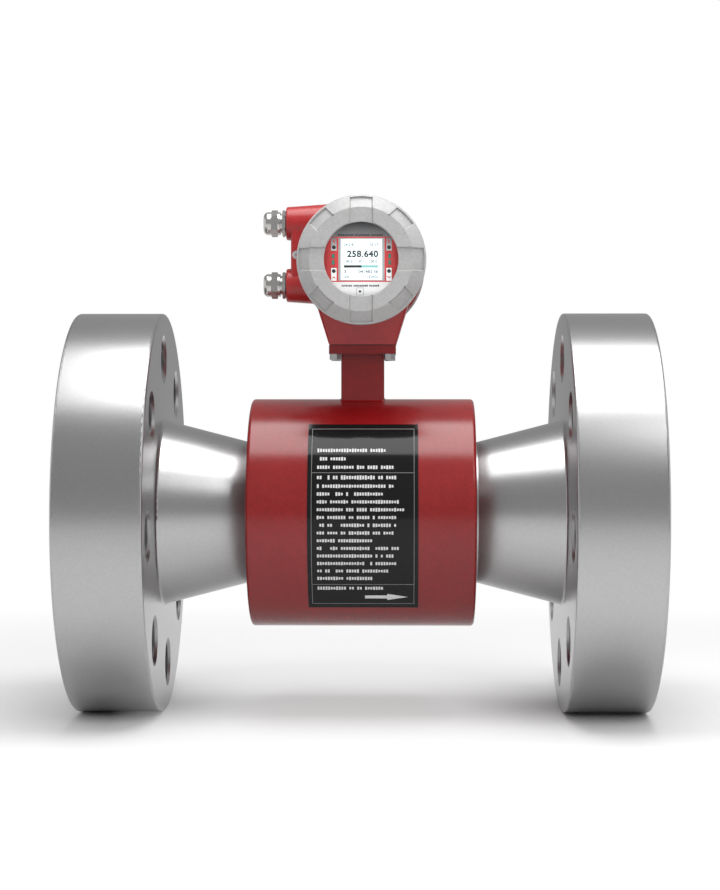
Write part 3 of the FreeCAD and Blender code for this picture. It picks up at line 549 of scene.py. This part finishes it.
def slab(work, corners, front, thick, wrap=None):
    """Thin plate with its outline in the XZ plane; front is the y of its face towards -Y, and
    wrap tells how far each height lies towards -Y."""
    faces = []
    for depth in (front, front + thick):
        ring = []
        for x, z in corners:
            y = depth if wrap is None else depth - wrap(z)
            ring.append(work.verts.new((x, y, z)))
        faces.append(ring)
    near, far = faces
    work.faces.new(near)
    work.faces.new(list(reversed(far)))
    for i in range(len(near)):
        j = (i + 1) % len(near)
        work.faces.new((near[i], far[i], far[j], near[j]))


def box_corners(x0, x1, z0, z1):
    """Corners of an upright rectangle."""
    return [(x0, z0), (x1, z0), (x1, z1), (x0, z1)]


# ---- trees that grow geometry ------------------------------------------------------------
def new_geometry_tree(name, inputs):
    """Geometry Nodes tree with inputs by name and kind, and one output."""
    tree = bpy.data.node_groups.new(name, "GeometryNodeTree")
    for socket, kind in inputs.items():
        tree.interface.new_socket(socket, in_out="INPUT", socket_type="NodeSocket" + kind)
    tree.interface.new_socket("Geometry", in_out="OUTPUT", socket_type="NodeSocketGeometry")
    return tree, tree.nodes.new("NodeGroupInput").outputs


def end_tree(tree, geometry, finish):
    """Ends a tree with its geometry in a finish."""
    dressed = put(tree, "GeometryNodeSetMaterial", {"Geometry": geometry, "Material": finish})
    put(tree, "NodeGroupOutput", {0: dressed.outputs[0]})


def grown(tree, values):
    """Plain mesh of a Geometry Nodes tree with its inputs set by name."""
    holder = bpy.data.objects.new("holder", bpy.data.meshes.new("holder"))
    scene.collection.objects.link(holder)
    modifier = holder.modifiers.new("grow", "NODES")
    modifier.node_group = tree
    for item in tree.interface.items_tree:
        if item.item_type == "SOCKET" and item.in_out == "INPUT":
            modifier[item.identifier] = values[item.name]
    graph = bpy.context.evaluated_depsgraph_get()
    mesh = bpy.data.meshes.new_from_object(holder.evaluated_get(graph), depsgraph=graph)
    holder.modifiers.remove(modifier)
    bpy.data.objects.remove(holder)
    return mesh


# ---- threads -----------------------------------------------------------------------------
def thread_tree():
    """A helical ridge around Z with a diamond section, closed at both ends."""
    steps_in_a_turn, section_corners = 48, 4
    tree, start = new_geometry_tree("thread", {
        "Radius": "Float", "Length": "Float", "Pitch": "Float", "Ridge": "Float",
        "Finish": "Material"})
    turns = math_node(tree, "DIVIDE", start["Length"], start["Pitch"])
    helix = put(tree, "GeometryNodeCurveSpiral", {
        "Resolution": steps_in_a_turn, "Rotations": turns, "Start Radius": start["Radius"],
        "End Radius": start["Radius"], "Height": start["Length"]})
    section = put(tree, "GeometryNodeCurvePrimitiveCircle", {
        "Resolution": section_corners, "Radius": start["Ridge"]})
    ridge = put(tree, "GeometryNodeCurveToMesh", {
        "Curve": helix.outputs[0], "Profile Curve": section.outputs["Curve"], "Fill Caps": True})
    whole = put(tree, "GeometryNodeRealizeInstances", {0: ridge.outputs[0]})
    end_tree(tree, whole.outputs[0], start["Finish"])
    return tree


def add_thread(name, tree, base, direction, radius, length, pitch, finish):
    """A thread that starts at base and runs along direction."""
    mesh = grown(tree, {"Radius": radius, "Length": length, "Pitch": pitch, "Ridge": 0.2 * MM,
                        "Finish": FINISHES[finish]})
    turn = Vector((0, 0, 1)).rotation_difference(direction).to_matrix().to_4x4()
    mesh.transform(Matrix.Translation(base) @ turn)
    work = bmesh.new()
    work.from_mesh(mesh)
    bmesh.ops.triangulate(work, faces=[f for f in work.faces if len(f.verts) > 4])
    piece(name, mesh_from(work), finish, "meter")


def add_threads():
    """Threads on both spigots of the converter and on the gland bodies."""
    tree = thread_tree()
    spigot_r, spigot_length, spigot_pitch = 54.5 * MM, 19.5 * MM, 2.0 * MM
    seal, runout = 4.0 * MM, 1.0 * MM
    front = Vector((0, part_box("front_cap_o_ring")[1].y, HEAD_Z))
    rear = Vector((0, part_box("rear_cap_o_ring")[0].y, HEAD_Z))
    for name, base, way in (("front", front, Vector((0, -1, 0))),
                            ("rear", rear, Vector((0, 1, 0)))):
        add_thread("spigot_thread_" + name, tree, base + way * seal, way, spigot_r,
                   spigot_length - seal - runout, spigot_pitch, "red_paint")
    gland_r, gland_length, gland_runout, gland_pitch = 9.6 * MM, 9.6 * MM, 0.4 * MM, 1.5 * MM
    for name in ("upper", "lower"):
        low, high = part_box("gland_body_" + name)
        base = Vector((low.x, 0, (low.z + high.z) / 2)) + Vector((gland_length, 0, 0))
        add_thread("gland_thread_" + name, tree, base, Vector((-1, 0, 0)), gland_r,
                   gland_length - gland_runout, gland_pitch, "nickel")


# ---- flange edges ------------------------------------------------------------------------
def edge_ring(name, edge_x, way):
    """Smooth skin over the rounded edge of a flange disc; way is 1 or -1 along the pipe."""
    rim_r, rounding, skin, depth = -FLOOR_Z, 2.5 * MM, 0.03 * MM, 0.4 * MM
    first_degree, degrees, steps, around = 15, 70, 8, 360
    angles = [math.radians(first_degree + degrees * i / steps) for i in range(steps + 1)]
    arc = [(angle, rounding + skin) for angle in angles]
    arc += [(angles[-1], rounding - depth), (angles[0], rounding - depth)]
    section = [(edge_x - way * (rounding - reach * math.sin(angle)),
                rim_r - rounding + reach * math.cos(angle)) for angle, reach in arc]
    work = bmesh.new()
    rings = [[work.verts.new((x, r * math.cos(turn), r * math.sin(turn))) for x, r in section]
             for turn in (2 * math.pi * i / around for i in range(around))]
    for i in range(around):
        near, far = rings[i], rings[(i + 1) % around]
        for k in range(len(section)):
            j = (k + 1) % len(section)
            work.faces.new((near[k], near[j], far[j], far[k])).smooth = k < steps
    piece(name, mesh_from(work), "flange_steel", "meter")


def add_edge_rings():
    """Rings on both edges of both flange discs."""
    outer, inner = 284.4 * MM, 199.3 * MM
    for side, way in (("left", -1), ("right", 1)):
        edge_ring(side + "_flange_outer_edge", way * outer, way)
        edge_ring(side + "_flange_inner_edge", way * inner, -way)


# ---- nameplate ---------------------------------------------------------------------------
INK = 0.06 * MM
ROW_PITCH = 7.44 * MM
PLATE_X = (PLATE_LOW.x + PLATE_HIGH.x) / 2
FRAME_INSET = 3.7 * MM
UPPER_LINE, LOWER_LINE = 43.0 * MM, -65.2 * MM
TEXT_LEFT = PLATE_LOW.x + 10.2 * MM


def around_drum(z):
    """How far the plate's face lies from the axis plane at a height, towards -Y."""
    return math.sqrt((PLATE_R + INK / 2) ** 2 - z * z)


def plate_strip(work, x0, x1, z0, z1):
    """Printed rectangle that follows the bend of the plate."""
    steps = max(1, math.ceil((z1 - z0) / MM))
    for i in range(steps):
        low = z0 + (z1 - z0) * i / steps
        high = z0 + (z1 - z0) * (i + 1) / steps
        slab(work, box_corners(x0, x1, low, high), 0.0, INK, around_drum)


def plate_lines():
    """Frame and two dividers of the nameplate."""
    work = bmesh.new()
    line, from_top, from_bottom = 0.5 * MM, 4.2 * MM, 4.0 * MM
    left, right = PLATE_LOW.x + FRAME_INSET, PLATE_HIGH.x - FRAME_INSET
    top, bottom = PLATE_HIGH.z - from_top, PLATE_LOW.z + from_bottom
    for x in (left, right - line):
        plate_strip(work, x, x + line, bottom, top)
    for z in (bottom, LOWER_LINE, UPPER_LINE, top - line):
        plate_strip(work, left, right, z, z + line)
    piece("nameplate_lines", mesh_from(work), "line_ink", "meter")


def flow_arrow():
    """Arrow that points along the flow, at the lower right of the plate."""
    work = bmesh.new()
    tail, tip, z = PLATE_X + 1.8 * MM, PLATE_X + 43.4 * MM, -77.9 * MM
    neck = tip - 20 * MM
    rows, half, shaft_half = 16, 3.2 * MM, 1.6 * MM
    plate_strip(work, tail, neck, z - shaft_half, z + shaft_half)
    for i in range(rows):
        low, high = -half + 2 * half * i / rows, -half + 2 * half * (i + 1) / rows
        ends = [tip - (tip - neck) * abs(at) / half for at in (low, high)]
        slab(work, [(neck, z + low), (ends[0], z + low), (ends[1], z + high), (neck, z + high)],
             0.0, INK, around_drum)
    piece("flow_arrow", mesh_from(work), "light_ink", "meter")


def print_tree():
    """Rows of small printed blocks in words of uneven length, bent onto the plate."""
    empty_cells, block_width, lowest, tallest = 0.15, 0.7, 0.72, 1.12
    tree, start = new_geometry_tree("printed rows", {
        "Rows": "Int", "Cells": "Int", "Pitch": "Float", "Cell": "Float", "Left": "Float",
        "Top": "Float", "Shortest": "Float", "Longest": "Float", "Height": "Float",
        "Radius": "Float", "Seed": "Int", "Finish": "Material"})

    def grid_side(count, step):
        return math_node(tree, "MULTIPLY", math_node(tree, "SUBTRACT", count, 1.0), step)

    def draw(low, high, seed, **inputs):
        inputs.update({"Seed": seed})
        return put(tree, "FunctionNodeRandomValue", {2: low, 3: high, **inputs},
                   data_type="FLOAT").outputs[1]

    width = grid_side(start["Cells"], start["Cell"])
    tall = grid_side(start["Rows"], start["Pitch"])
    grid = put(tree, "GeometryNodeMeshGrid", {
        "Size X": width, "Size Y": tall, "Vertices X": start["Cells"], "Vertices Y": start["Rows"]})
    points = put(tree, "GeometryNodeMeshToPoints", {"Mesh": grid.outputs["Mesh"]})
    place = axes(tree, put(tree, "GeometryNodeInputPosition").outputs[0])
    from_left = math_node(tree, "MULTIPLY_ADD", width, 0.5, place["X"])
    from_top = math_node(tree, "SUBTRACT", math_node(tree, "MULTIPLY", tall, 0.5), place["Y"])
    row = math_node(tree, "ROUND", math_node(tree, "DIVIDE", from_top, start["Pitch"]))
    length = draw(start["Shortest"], start["Longest"], start["Seed"], ID=row)
    beyond = math_node(tree, "GREATER_THAN", from_left, length)
    blank_cell = math_node(tree, "LESS_THAN", draw(0.0, 1.0, start["Seed"]), empty_cells)
    gone = math_node(tree, "MAXIMUM", beyond, blank_cell)
    kept = put(tree, "GeometryNodeDeleteGeometry", {"Geometry": points.outputs[0],
                                                    "Selection": gone}, domain="POINT")
    tallness = draw(lowest, tallest, math_node(tree, "ADD", start["Seed"], 1.0))
    block = put(tree, "GeometryNodeMeshCube", {"Size": (1.0, 1.0, 1.0)})
    size = put(tree, "ShaderNodeCombineXYZ", {
        "X": math_node(tree, "MULTIPLY", start["Cell"], block_width),
        "Y": math_node(tree, "MULTIPLY", start["Height"], tallness), "Z": INK}).outputs[0]
    blocks = put(tree, "GeometryNodeInstanceOnPoints", {
        "Points": kept.outputs[0], "Instance": block.outputs["Mesh"], "Scale": size})
    whole = put(tree, "GeometryNodeRealizeInstances", {0: blocks.outputs[0]})
    flat = axes(tree, put(tree, "GeometryNodeInputPosition").outputs[0])
    x = math_node(tree, "ADD", math_node(tree, "MULTIPLY_ADD", width, 0.5, flat["X"]),
                  start["Left"])
    z = math_node(tree, "ADD", math_node(tree, "MULTIPLY_ADD", tall, -0.5, flat["Y"]),
                  start["Top"])
    radius = math_node(tree, "ADD", start["Radius"], flat["Z"])
    deep = math_node(tree, "SQRT", math_node(
        tree, "SUBTRACT", math_node(tree, "MULTIPLY", radius, radius),
        math_node(tree, "MULTIPLY", z, z)))
    bent = put(tree, "ShaderNodeCombineXYZ", {
        "X": x, "Y": math_node(tree, "MULTIPLY", deep, -1.0), "Z": z})
    moved = put(tree, "GeometryNodeSetPosition", {"Geometry": whole.outputs[0],
                                                  "Position": bent.outputs[0]})
    end_tree(tree, moved.outputs[0], start["Finish"])
    return tree


def add_print():
    """Blocks of generic print: under the header, between the dividers and below them."""
    tree = print_tree()
    cells, cell = 34, 2.55 * MM
    # Name, rows, height of the first row, pitch, height of a block, shortest, longest, seed.
    groups = (("head", 3, 64.4 * MM, 8.0 * MM, 3.2 * MM, 18 * MM, 84 * MM, 4),
              ("title", 1, 38.7 * MM, ROW_PITCH, 3.6 * MM, 74 * MM, 76 * MM, 7),
              ("body", 13, 30.5 * MM, ROW_PITCH, 3.1 * MM, 50 * MM, 85 * MM, 11),
              ("foot", 1, -68.8 * MM, ROW_PITCH, 3.1 * MM, 61 * MM, 63 * MM, 2))
    for name, rows, top, pitch, height, shortest, longest, seed in groups:
        mesh = grown(tree, {
            "Rows": rows, "Cells": cells, "Pitch": pitch, "Cell": cell, "Left": TEXT_LEFT,
            "Top": top, "Shortest": shortest, "Longest": longest, "Height": height,
            "Radius": PLATE_R + INK / 2, "Seed": seed, "Finish": FINISHES["light_ink"]})
        work = bmesh.new()
        work.from_mesh(mesh)
        piece("nameplate_print_" + name, mesh_from(work), "light_ink", "meter")


# ---- display -----------------------------------------------------------------------------
CAPITAL_HEIGHT = 0.73
FILM_LIFT, FILM_INK = 0.05 * MM, 0.08 * MM
SCREEN_ENDS = -16.9 * MM, 16.1 * MM


def number(text, x, z, tall, bold, right=False, apart=1.0):
    """Mesh of plain digits standing on height z; x is their left or right end."""
    half_depth, lift = 0.03 * MM, 0.02 * MM
    curve = bpy.data.curves.new("digits", "FONT")
    curve.body = text
    curve.size = tall / CAPITAL_HEIGHT
    curve.extrude = half_depth
    curve.offset = bold
    curve.space_character = apart
    curve.resolution_u = 4
    curve.align_x = "RIGHT" if right else "LEFT"
    holder = bpy.data.objects.new("digits", curve)
    scene.collection.objects.link(holder)
    graph = bpy.context.evaluated_depsgraph_get()
    mesh = bpy.data.meshes.new_from_object(holder.evaluated_get(graph), depsgraph=graph)
    bpy.data.objects.remove(holder)
    mesh.transform(Matrix.Rotation(math.pi / 2, 4, "X"))
    mesh.transform(Matrix.Translation((x, SCREEN_LOW.y - lift, HEAD_Z + z)))
    return mesh


def joined(meshes):
    """One bmesh of several meshes."""
    work = bmesh.new()
    for mesh in meshes:
        work.from_mesh(mesh)
        bpy.data.meshes.remove(mesh)
    return work


def add_digits():
    """Plain numbers on the screen: a large one, and small ones around the bar graph."""
    left, right = SCREEN_ENDS
    top, scale, total, last = 13.6 * MM, -2.6 * MM, -12.7 * MM, -17.3 * MM
    small, middling, tall = 2.5 * MM, 2.7 * MM, 3.3 * MM
    light, medium, heavy = 0.06 * MM, 0.08 * MM, 0.12 * MM
    big = number("258.640", right, 3.0 * MM, 6.2 * MM, 0.3 * MM, right=True, apart=1.1)
    piece("display_flow_digits", mesh_from(joined([big])), "dark_ink", "meter")
    rows = [number("24.518", left, top, small, light),
            number("03-17", right, top, small, light, right=True),
            number("00.0", left + 1.8 * MM, scale, middling, medium),
            number("50", 0.9 * MM, scale, middling, medium, right=True),
            number("100.0", right - 1.0 * MM, scale, middling, medium, right=True),
            number("3", left, total, tall, heavy),
            number("041482.36", right, total, tall, medium, right=True),
            number("205", left, last, small, light),
            number("16.0425", right, last, small, light, right=True)]
    piece("display_small_digits", mesh_from(joined(rows)), "grey_ink", "meter")


def add_bar_graph():
    """Bar graph of the screen: a dark share and the rest."""
    left, right = SCREEN_ENDS
    share, low, high = 0.1 * MM, HEAD_Z - 7.4 * MM, HEAD_Z - 5.0 * MM
    lift, thick = 0.05 * MM, 0.1 * MM
    for name, x0, x1, finish in (("dark", left, share, "dark_ink"),
                                 ("rest", share, right, "teal_ink")):
        work = bmesh.new()
        slab(work, box_corners(x0, x1, low, high), SCREEN_LOW.y - lift, thick)
        piece("display_bar_" + name, mesh_from(work), finish, "meter")


def film_bar(work, x0, x1, z0, z1):
    """Flat printed bar on the fascia."""
    slab(work, box_corners(x0, x1, z0, z1), FASCIA_Y - FILM_LIFT, FILM_INK)


def add_fascia_print():
    """Red lines above, below and beside the display."""
    work = bmesh.new()
    line, reach = 1.1 * MM, 43.0 * MM
    for z in (FRAME_HIGH.z, FRAME_LOW.z - line):
        half = math.sqrt(reach ** 2 - (z - HEAD_Z) ** 2)
        film_bar(work, -half, half, z, z + line)
    for x in (FRAME_LOW.x - line, FRAME_HIGH.x):
        film_bar(work, x, x + line, FRAME_LOW.z, FRAME_HIGH.z)
    piece("fascia_lines", mesh_from(work), "red_ink", "meter")


def film_words(work, x0, x1, z, tall, seed):
    """Row of small blocks on the fascia, in words of uneven length."""
    fewest, most, narrowest, widest, lowest = 6, 10, 0.9, 1.4, 0.75
    letter_gap, word_gap = 0.4, 1.5
    draw = random.Random(seed)
    x, letters = x0, draw.randint(fewest, most)
    while x < x1:
        wide = draw.uniform(narrowest, widest) * MM
        film_bar(work, x, x + wide, z, z + tall * draw.uniform(lowest, 1.0))
        letters -= 1
        x += wide + (letter_gap if letters else word_gap) * MM
        letters = letters or draw.randint(fewest, most)


def add_fascia_words():
    """Generic print above and below the display, and the plain touch spot under it."""
    work = bmesh.new()
    film_words(work, -22.6 * MM, 19.6 * MM, HEAD_Z + 23.2 * MM, 1.9 * MM, seed=5)
    film_words(work, -19.2 * MM, 17.0 * MM, HEAD_Z - 25.7 * MM, 2.0 * MM, seed=8)
    spot_x, spot_z, half, line = -1.4 * MM, HEAD_Z - 30.3 * MM, 3.6 * MM, 0.3 * MM
    disc(work, spot_x, spot_z, 1.2 * MM, FASCIA_Y - FILM_LIFT)
    piece("fascia_print", mesh_from(work), "dark_ink", "meter")
    edge = bmesh.new()
    for side in (-half, half - line):
        film_bar(edge, spot_x + side, spot_x + side + line, spot_z - half, spot_z + half)
        film_bar(edge, spot_x - half + line, spot_x + half - line, spot_z + side,
                 spot_z + side + line)
    piece("fascia_touch_edge", mesh_from(edge), "line_ink", "meter")


def disc(work, x, z, radius, front, sides=24):
    """Round flat dot."""
    turns = [2 * math.pi * i / sides for i in range(sides)]
    slab(work, [(x + radius * math.cos(turn), z + radius * math.sin(turn)) for turn in turns],
         front, FILM_INK)


def chevron(work, x, z, turn, front):
    """Angle bracket that opens away from its turn."""
    arm, stroke = 2.1 * MM, 0.75 * MM
    inner, back, notch = arm - stroke * 1.4, -arm / 2 - stroke * 0.2, arm / 2 - stroke * 1.5
    low, tip, high = (-arm / 2, -arm), (arm / 2, 0.0), (-arm / 2, arm)
    inner_high, inner_tip, inner_low = (back, inner), (notch, 0.0), (back, -inner)
    cos, sin = math.cos(turn), math.sin(turn)
    for half in ((low, tip, inner_tip, inner_low), (tip, high, inner_high, inner_tip)):
        slab(work, [(x + a * cos - b * sin, z + a * sin + b * cos) for a, b in half], front,
             FILM_INK)


def add_key_print():
    """Dots and red chevrons of the four touch keys, and tiny dots by the lamps."""
    keys_low, keys_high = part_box("optical_keys")
    front = keys_low.y - FILM_LIFT
    from_side, from_end = 2.6 * MM, 6.2 * MM
    key_x, upper, lower = keys_high.x - from_side, keys_high.z - from_end, keys_low.z + from_end
    dot_r, dot_shift, lamp_dot_r = 1.9 * MM, 3.2 * MM, 0.55 * MM
    rise, drop, lamp_dot_heights = 2.6 * MM, 2.8 * MM, (8.2 * MM, -7.0 * MM)
    dots, arrows = bmesh.new(), bmesh.new()
    for side in (-1, 1):
        disc(dots, side * key_x, upper - dot_shift, dot_r, front)
        disc(dots, side * key_x, lower + dot_shift, dot_r, front)
        chevron(arrows, side * key_x, upper + rise, 0.0 if side > 0 else math.pi, front)
        chevron(arrows, side * key_x, lower - drop, -side * math.pi / 2, front)
        for z in lamp_dot_heights:
            disc(dots, side * key_x, HEAD_Z + z, lamp_dot_r, FASCIA_Y - FILM_LIFT, sides=12)
    piece("key_dots", mesh_from(dots), "dark_ink", "meter")
    piece("key_chevrons", mesh_from(arrows), "red_ink", "meter")


# ---- stage -------------------------------------------------------------------------------
def background_rays(tree):
    """1 for rays that show the background: camera, glossy and transmission rays."""
    path = put(tree, "ShaderNodeLightPath").outputs
    reflected = math_node(tree, "ADD", path["Is Camera Ray"], path["Is Glossy Ray"])
    return math_node(tree, "ADD", reflected, path["Is Transmission Ray"], clamp=True)


def oval_distance(tree, half_x, half_y, left=0.0):
    """Distance over the floor that is 1 on an oval; left moves it by a share of half_x."""
    shape = put(tree, "ShaderNodeMapping", {
        "Vector": object_place(tree), "Location": (left, 0.0, 0.0),
        "Scale": (1 / half_x, 1 / half_y, 0.0)})
    inputs = {0: shape.outputs[0]}
    return put(tree, "ShaderNodeVectorMath", inputs, operation="LENGTH").outputs["Value"]


def floor_material():
    """Pale floor that keeps the shadow near the meter, and is plain white further out; between the
    flanges painted light lifts the shadow a little."""
    material, tree, shader = blank("floor", Roughness=0.9, Specular_IOR_Level=0.0)
    tone = place_group(tree, GRAIN, {"Colour": grey(0.74), "Scale": 40.0, "Contrast": 0.02})
    tree.links.new(tone["Colour"], shader.inputs["Base Color"])
    far = spread(tree, oval_distance(tree, 0.62, 0.5), 0.7, 2.2)
    # Painted light: a white share between the flanges lifts the shadow there.
    painted_light_between_flanges = spread(tree, oval_distance(tree, 0.24, 0.4, left=0.1), 0.5, 0.95, 0.36, 0.0)
    white_share = math_node(tree, "MAXIMUM", far, painted_light_between_flanges)
    white = put(tree, "ShaderNodeEmission", {"Color": grey(1.0), "Strength": 1.0})
    mix = put(tree, "ShaderNodeMixShader", {
        0: math_node(tree, "MULTIPLY", white_share, background_rays(tree)),
        1: shader.outputs[0], 2: white.outputs[0]})
    tree.links.new(mix.outputs[0], tree.nodes["Material Output"].inputs["Surface"])
    return material


def sheet(name, corners, material):
    """Flat four-sided sheet."""
    mesh = bpy.data.meshes.new(name)
    mesh.from_pydata(corners, [], [range(len(corners))])
    mesh.materials.append(material)
    made = bpy.data.objects.new(name, mesh)
    scene.collection.objects.link(made)
    return made


def card(name, corners, level):
    """Grey studio card, seen only in reflections."""
    material, tree = blank(name)[:2]
    glow = put(tree, "ShaderNodeEmission", {"Color": grey(1.0), "Strength": level})
    tree.links.new(glow.outputs[0], tree.nodes["Material Output"].inputs["Surface"])
    made = sheet(name, corners, material)
    made.visible_camera = False
    made.visible_diffuse = False
    made.visible_shadow = False


def add_stage():
    """Floor and the grey cards in front of, above and behind the meter."""
    half, low = 12.0, FLOOR_Z
    floor = sheet("floor", [(-half, -half, low), (half, -half, low), (half, half, low),
                            (-half, half, low)], floor_material())
    wide, near, back, high = 5.0, -3.4, 4.0, 3.2
    card("front_card", [(-wide, near, low), (wide, near, low), (wide, near, high),
                        (-wide, near, high)], level=0.42)
    card("top_card", [(-wide, near, high), (wide, near, high), (wide, back, high),
                      (-wide, back, high)], level=0.40)
    card("back_card", [(-wide, back, low), (wide, back, low), (wide, back, high),
                       (-wide, back, high)], level=0.40)


def lamp(name, place, aim, size, radiance, glossy=True):
    """Square area lamp of an even radiance that faces a point."""
    data = bpy.data.lights.new(name, "AREA")
    data.shape = "SQUARE"
    data.size = size
    data.energy = radiance * math.pi * size * size
    made = bpy.data.objects.new(name, data)
    made.location = place
    made.rotation_euler = (Vector(aim) - made.location).to_track_quat("-Z", "Y").to_euler()
    made.visible_glossy = glossy
    scene.collection.objects.link(made)


def add_light():
    """A large softbox overhead, a small one at the right, a front fill, and a lamp that lights
    the fascia behind the window."""
    centre = (0.0, 0.0, 0.0)
    lamp("softbox", (0.12, -0.25, 1.4), aim=(0.12, -0.25, 0.0), size=1.1, radiance=5.5)
    lamp("right_softbox", (0.75, -1.1, 1.1), aim=centre, size=0.6, radiance=3.0)
    lamp("front_fill", (0.4, -2.9, 1.7), aim=centre, size=2.0, radiance=2.0, glossy=False)
    window = Vector((0.0, FASCIA_Y - 4.0 * MM, HEAD_Z))
    lamp("window_lamp", window, aim=window + Vector((0.0, 1.0, 0.0)), size=62 * MM,
         radiance=0.62, glossy=False)


def add_world():
    """Even glow that lights the meter, and white where the background shows."""
    world = bpy.data.worlds.new("studio")
    scene.world = world
    world.use_nodes = True
    tree = world.node_tree
    tree.nodes.clear()
    glow = put(tree, "ShaderNodeBackground", {"Color": grey(1.0), "Strength": 0.7})
    white = put(tree, "ShaderNodeBackground", {"Color": grey(1.0), "Strength": 1.0})
    mix = put(tree, "ShaderNodeMixShader", {
        0: background_rays(tree), 1: glow.outputs[0], 2: white.outputs[0]})
    put(tree, "ShaderNodeOutputWorld", {0: mix.outputs[0]})


def add_camera():
    """Camera in front of the meter, a little to the right and above the pipe."""
    place, aim = Vector((0.03593, -2.09002, 0.10715)), Vector((-0.0030, 0.0, 0.0678))
    data = bpy.data.cameras.new("camera")
    data.lens = 83.83
    data.sensor_width = 36.0
    camera = bpy.data.objects.new("camera", data)
    camera.location = place
    camera.rotation_euler = (aim - place).to_track_quat("-Z", "Y").to_euler()
    scene.collection.objects.link(camera)
    scene.camera = camera


dress_nodes()
add_threads()
add_edge_rings()
plate_lines()
flow_arrow()
add_print()
add_digits()
add_bar_graph()
add_fascia_print()
add_fascia_words()
add_key_print()
add_stage()
add_light()
add_world()
add_camera()
scene.view_settings.view_transform = "Standard"
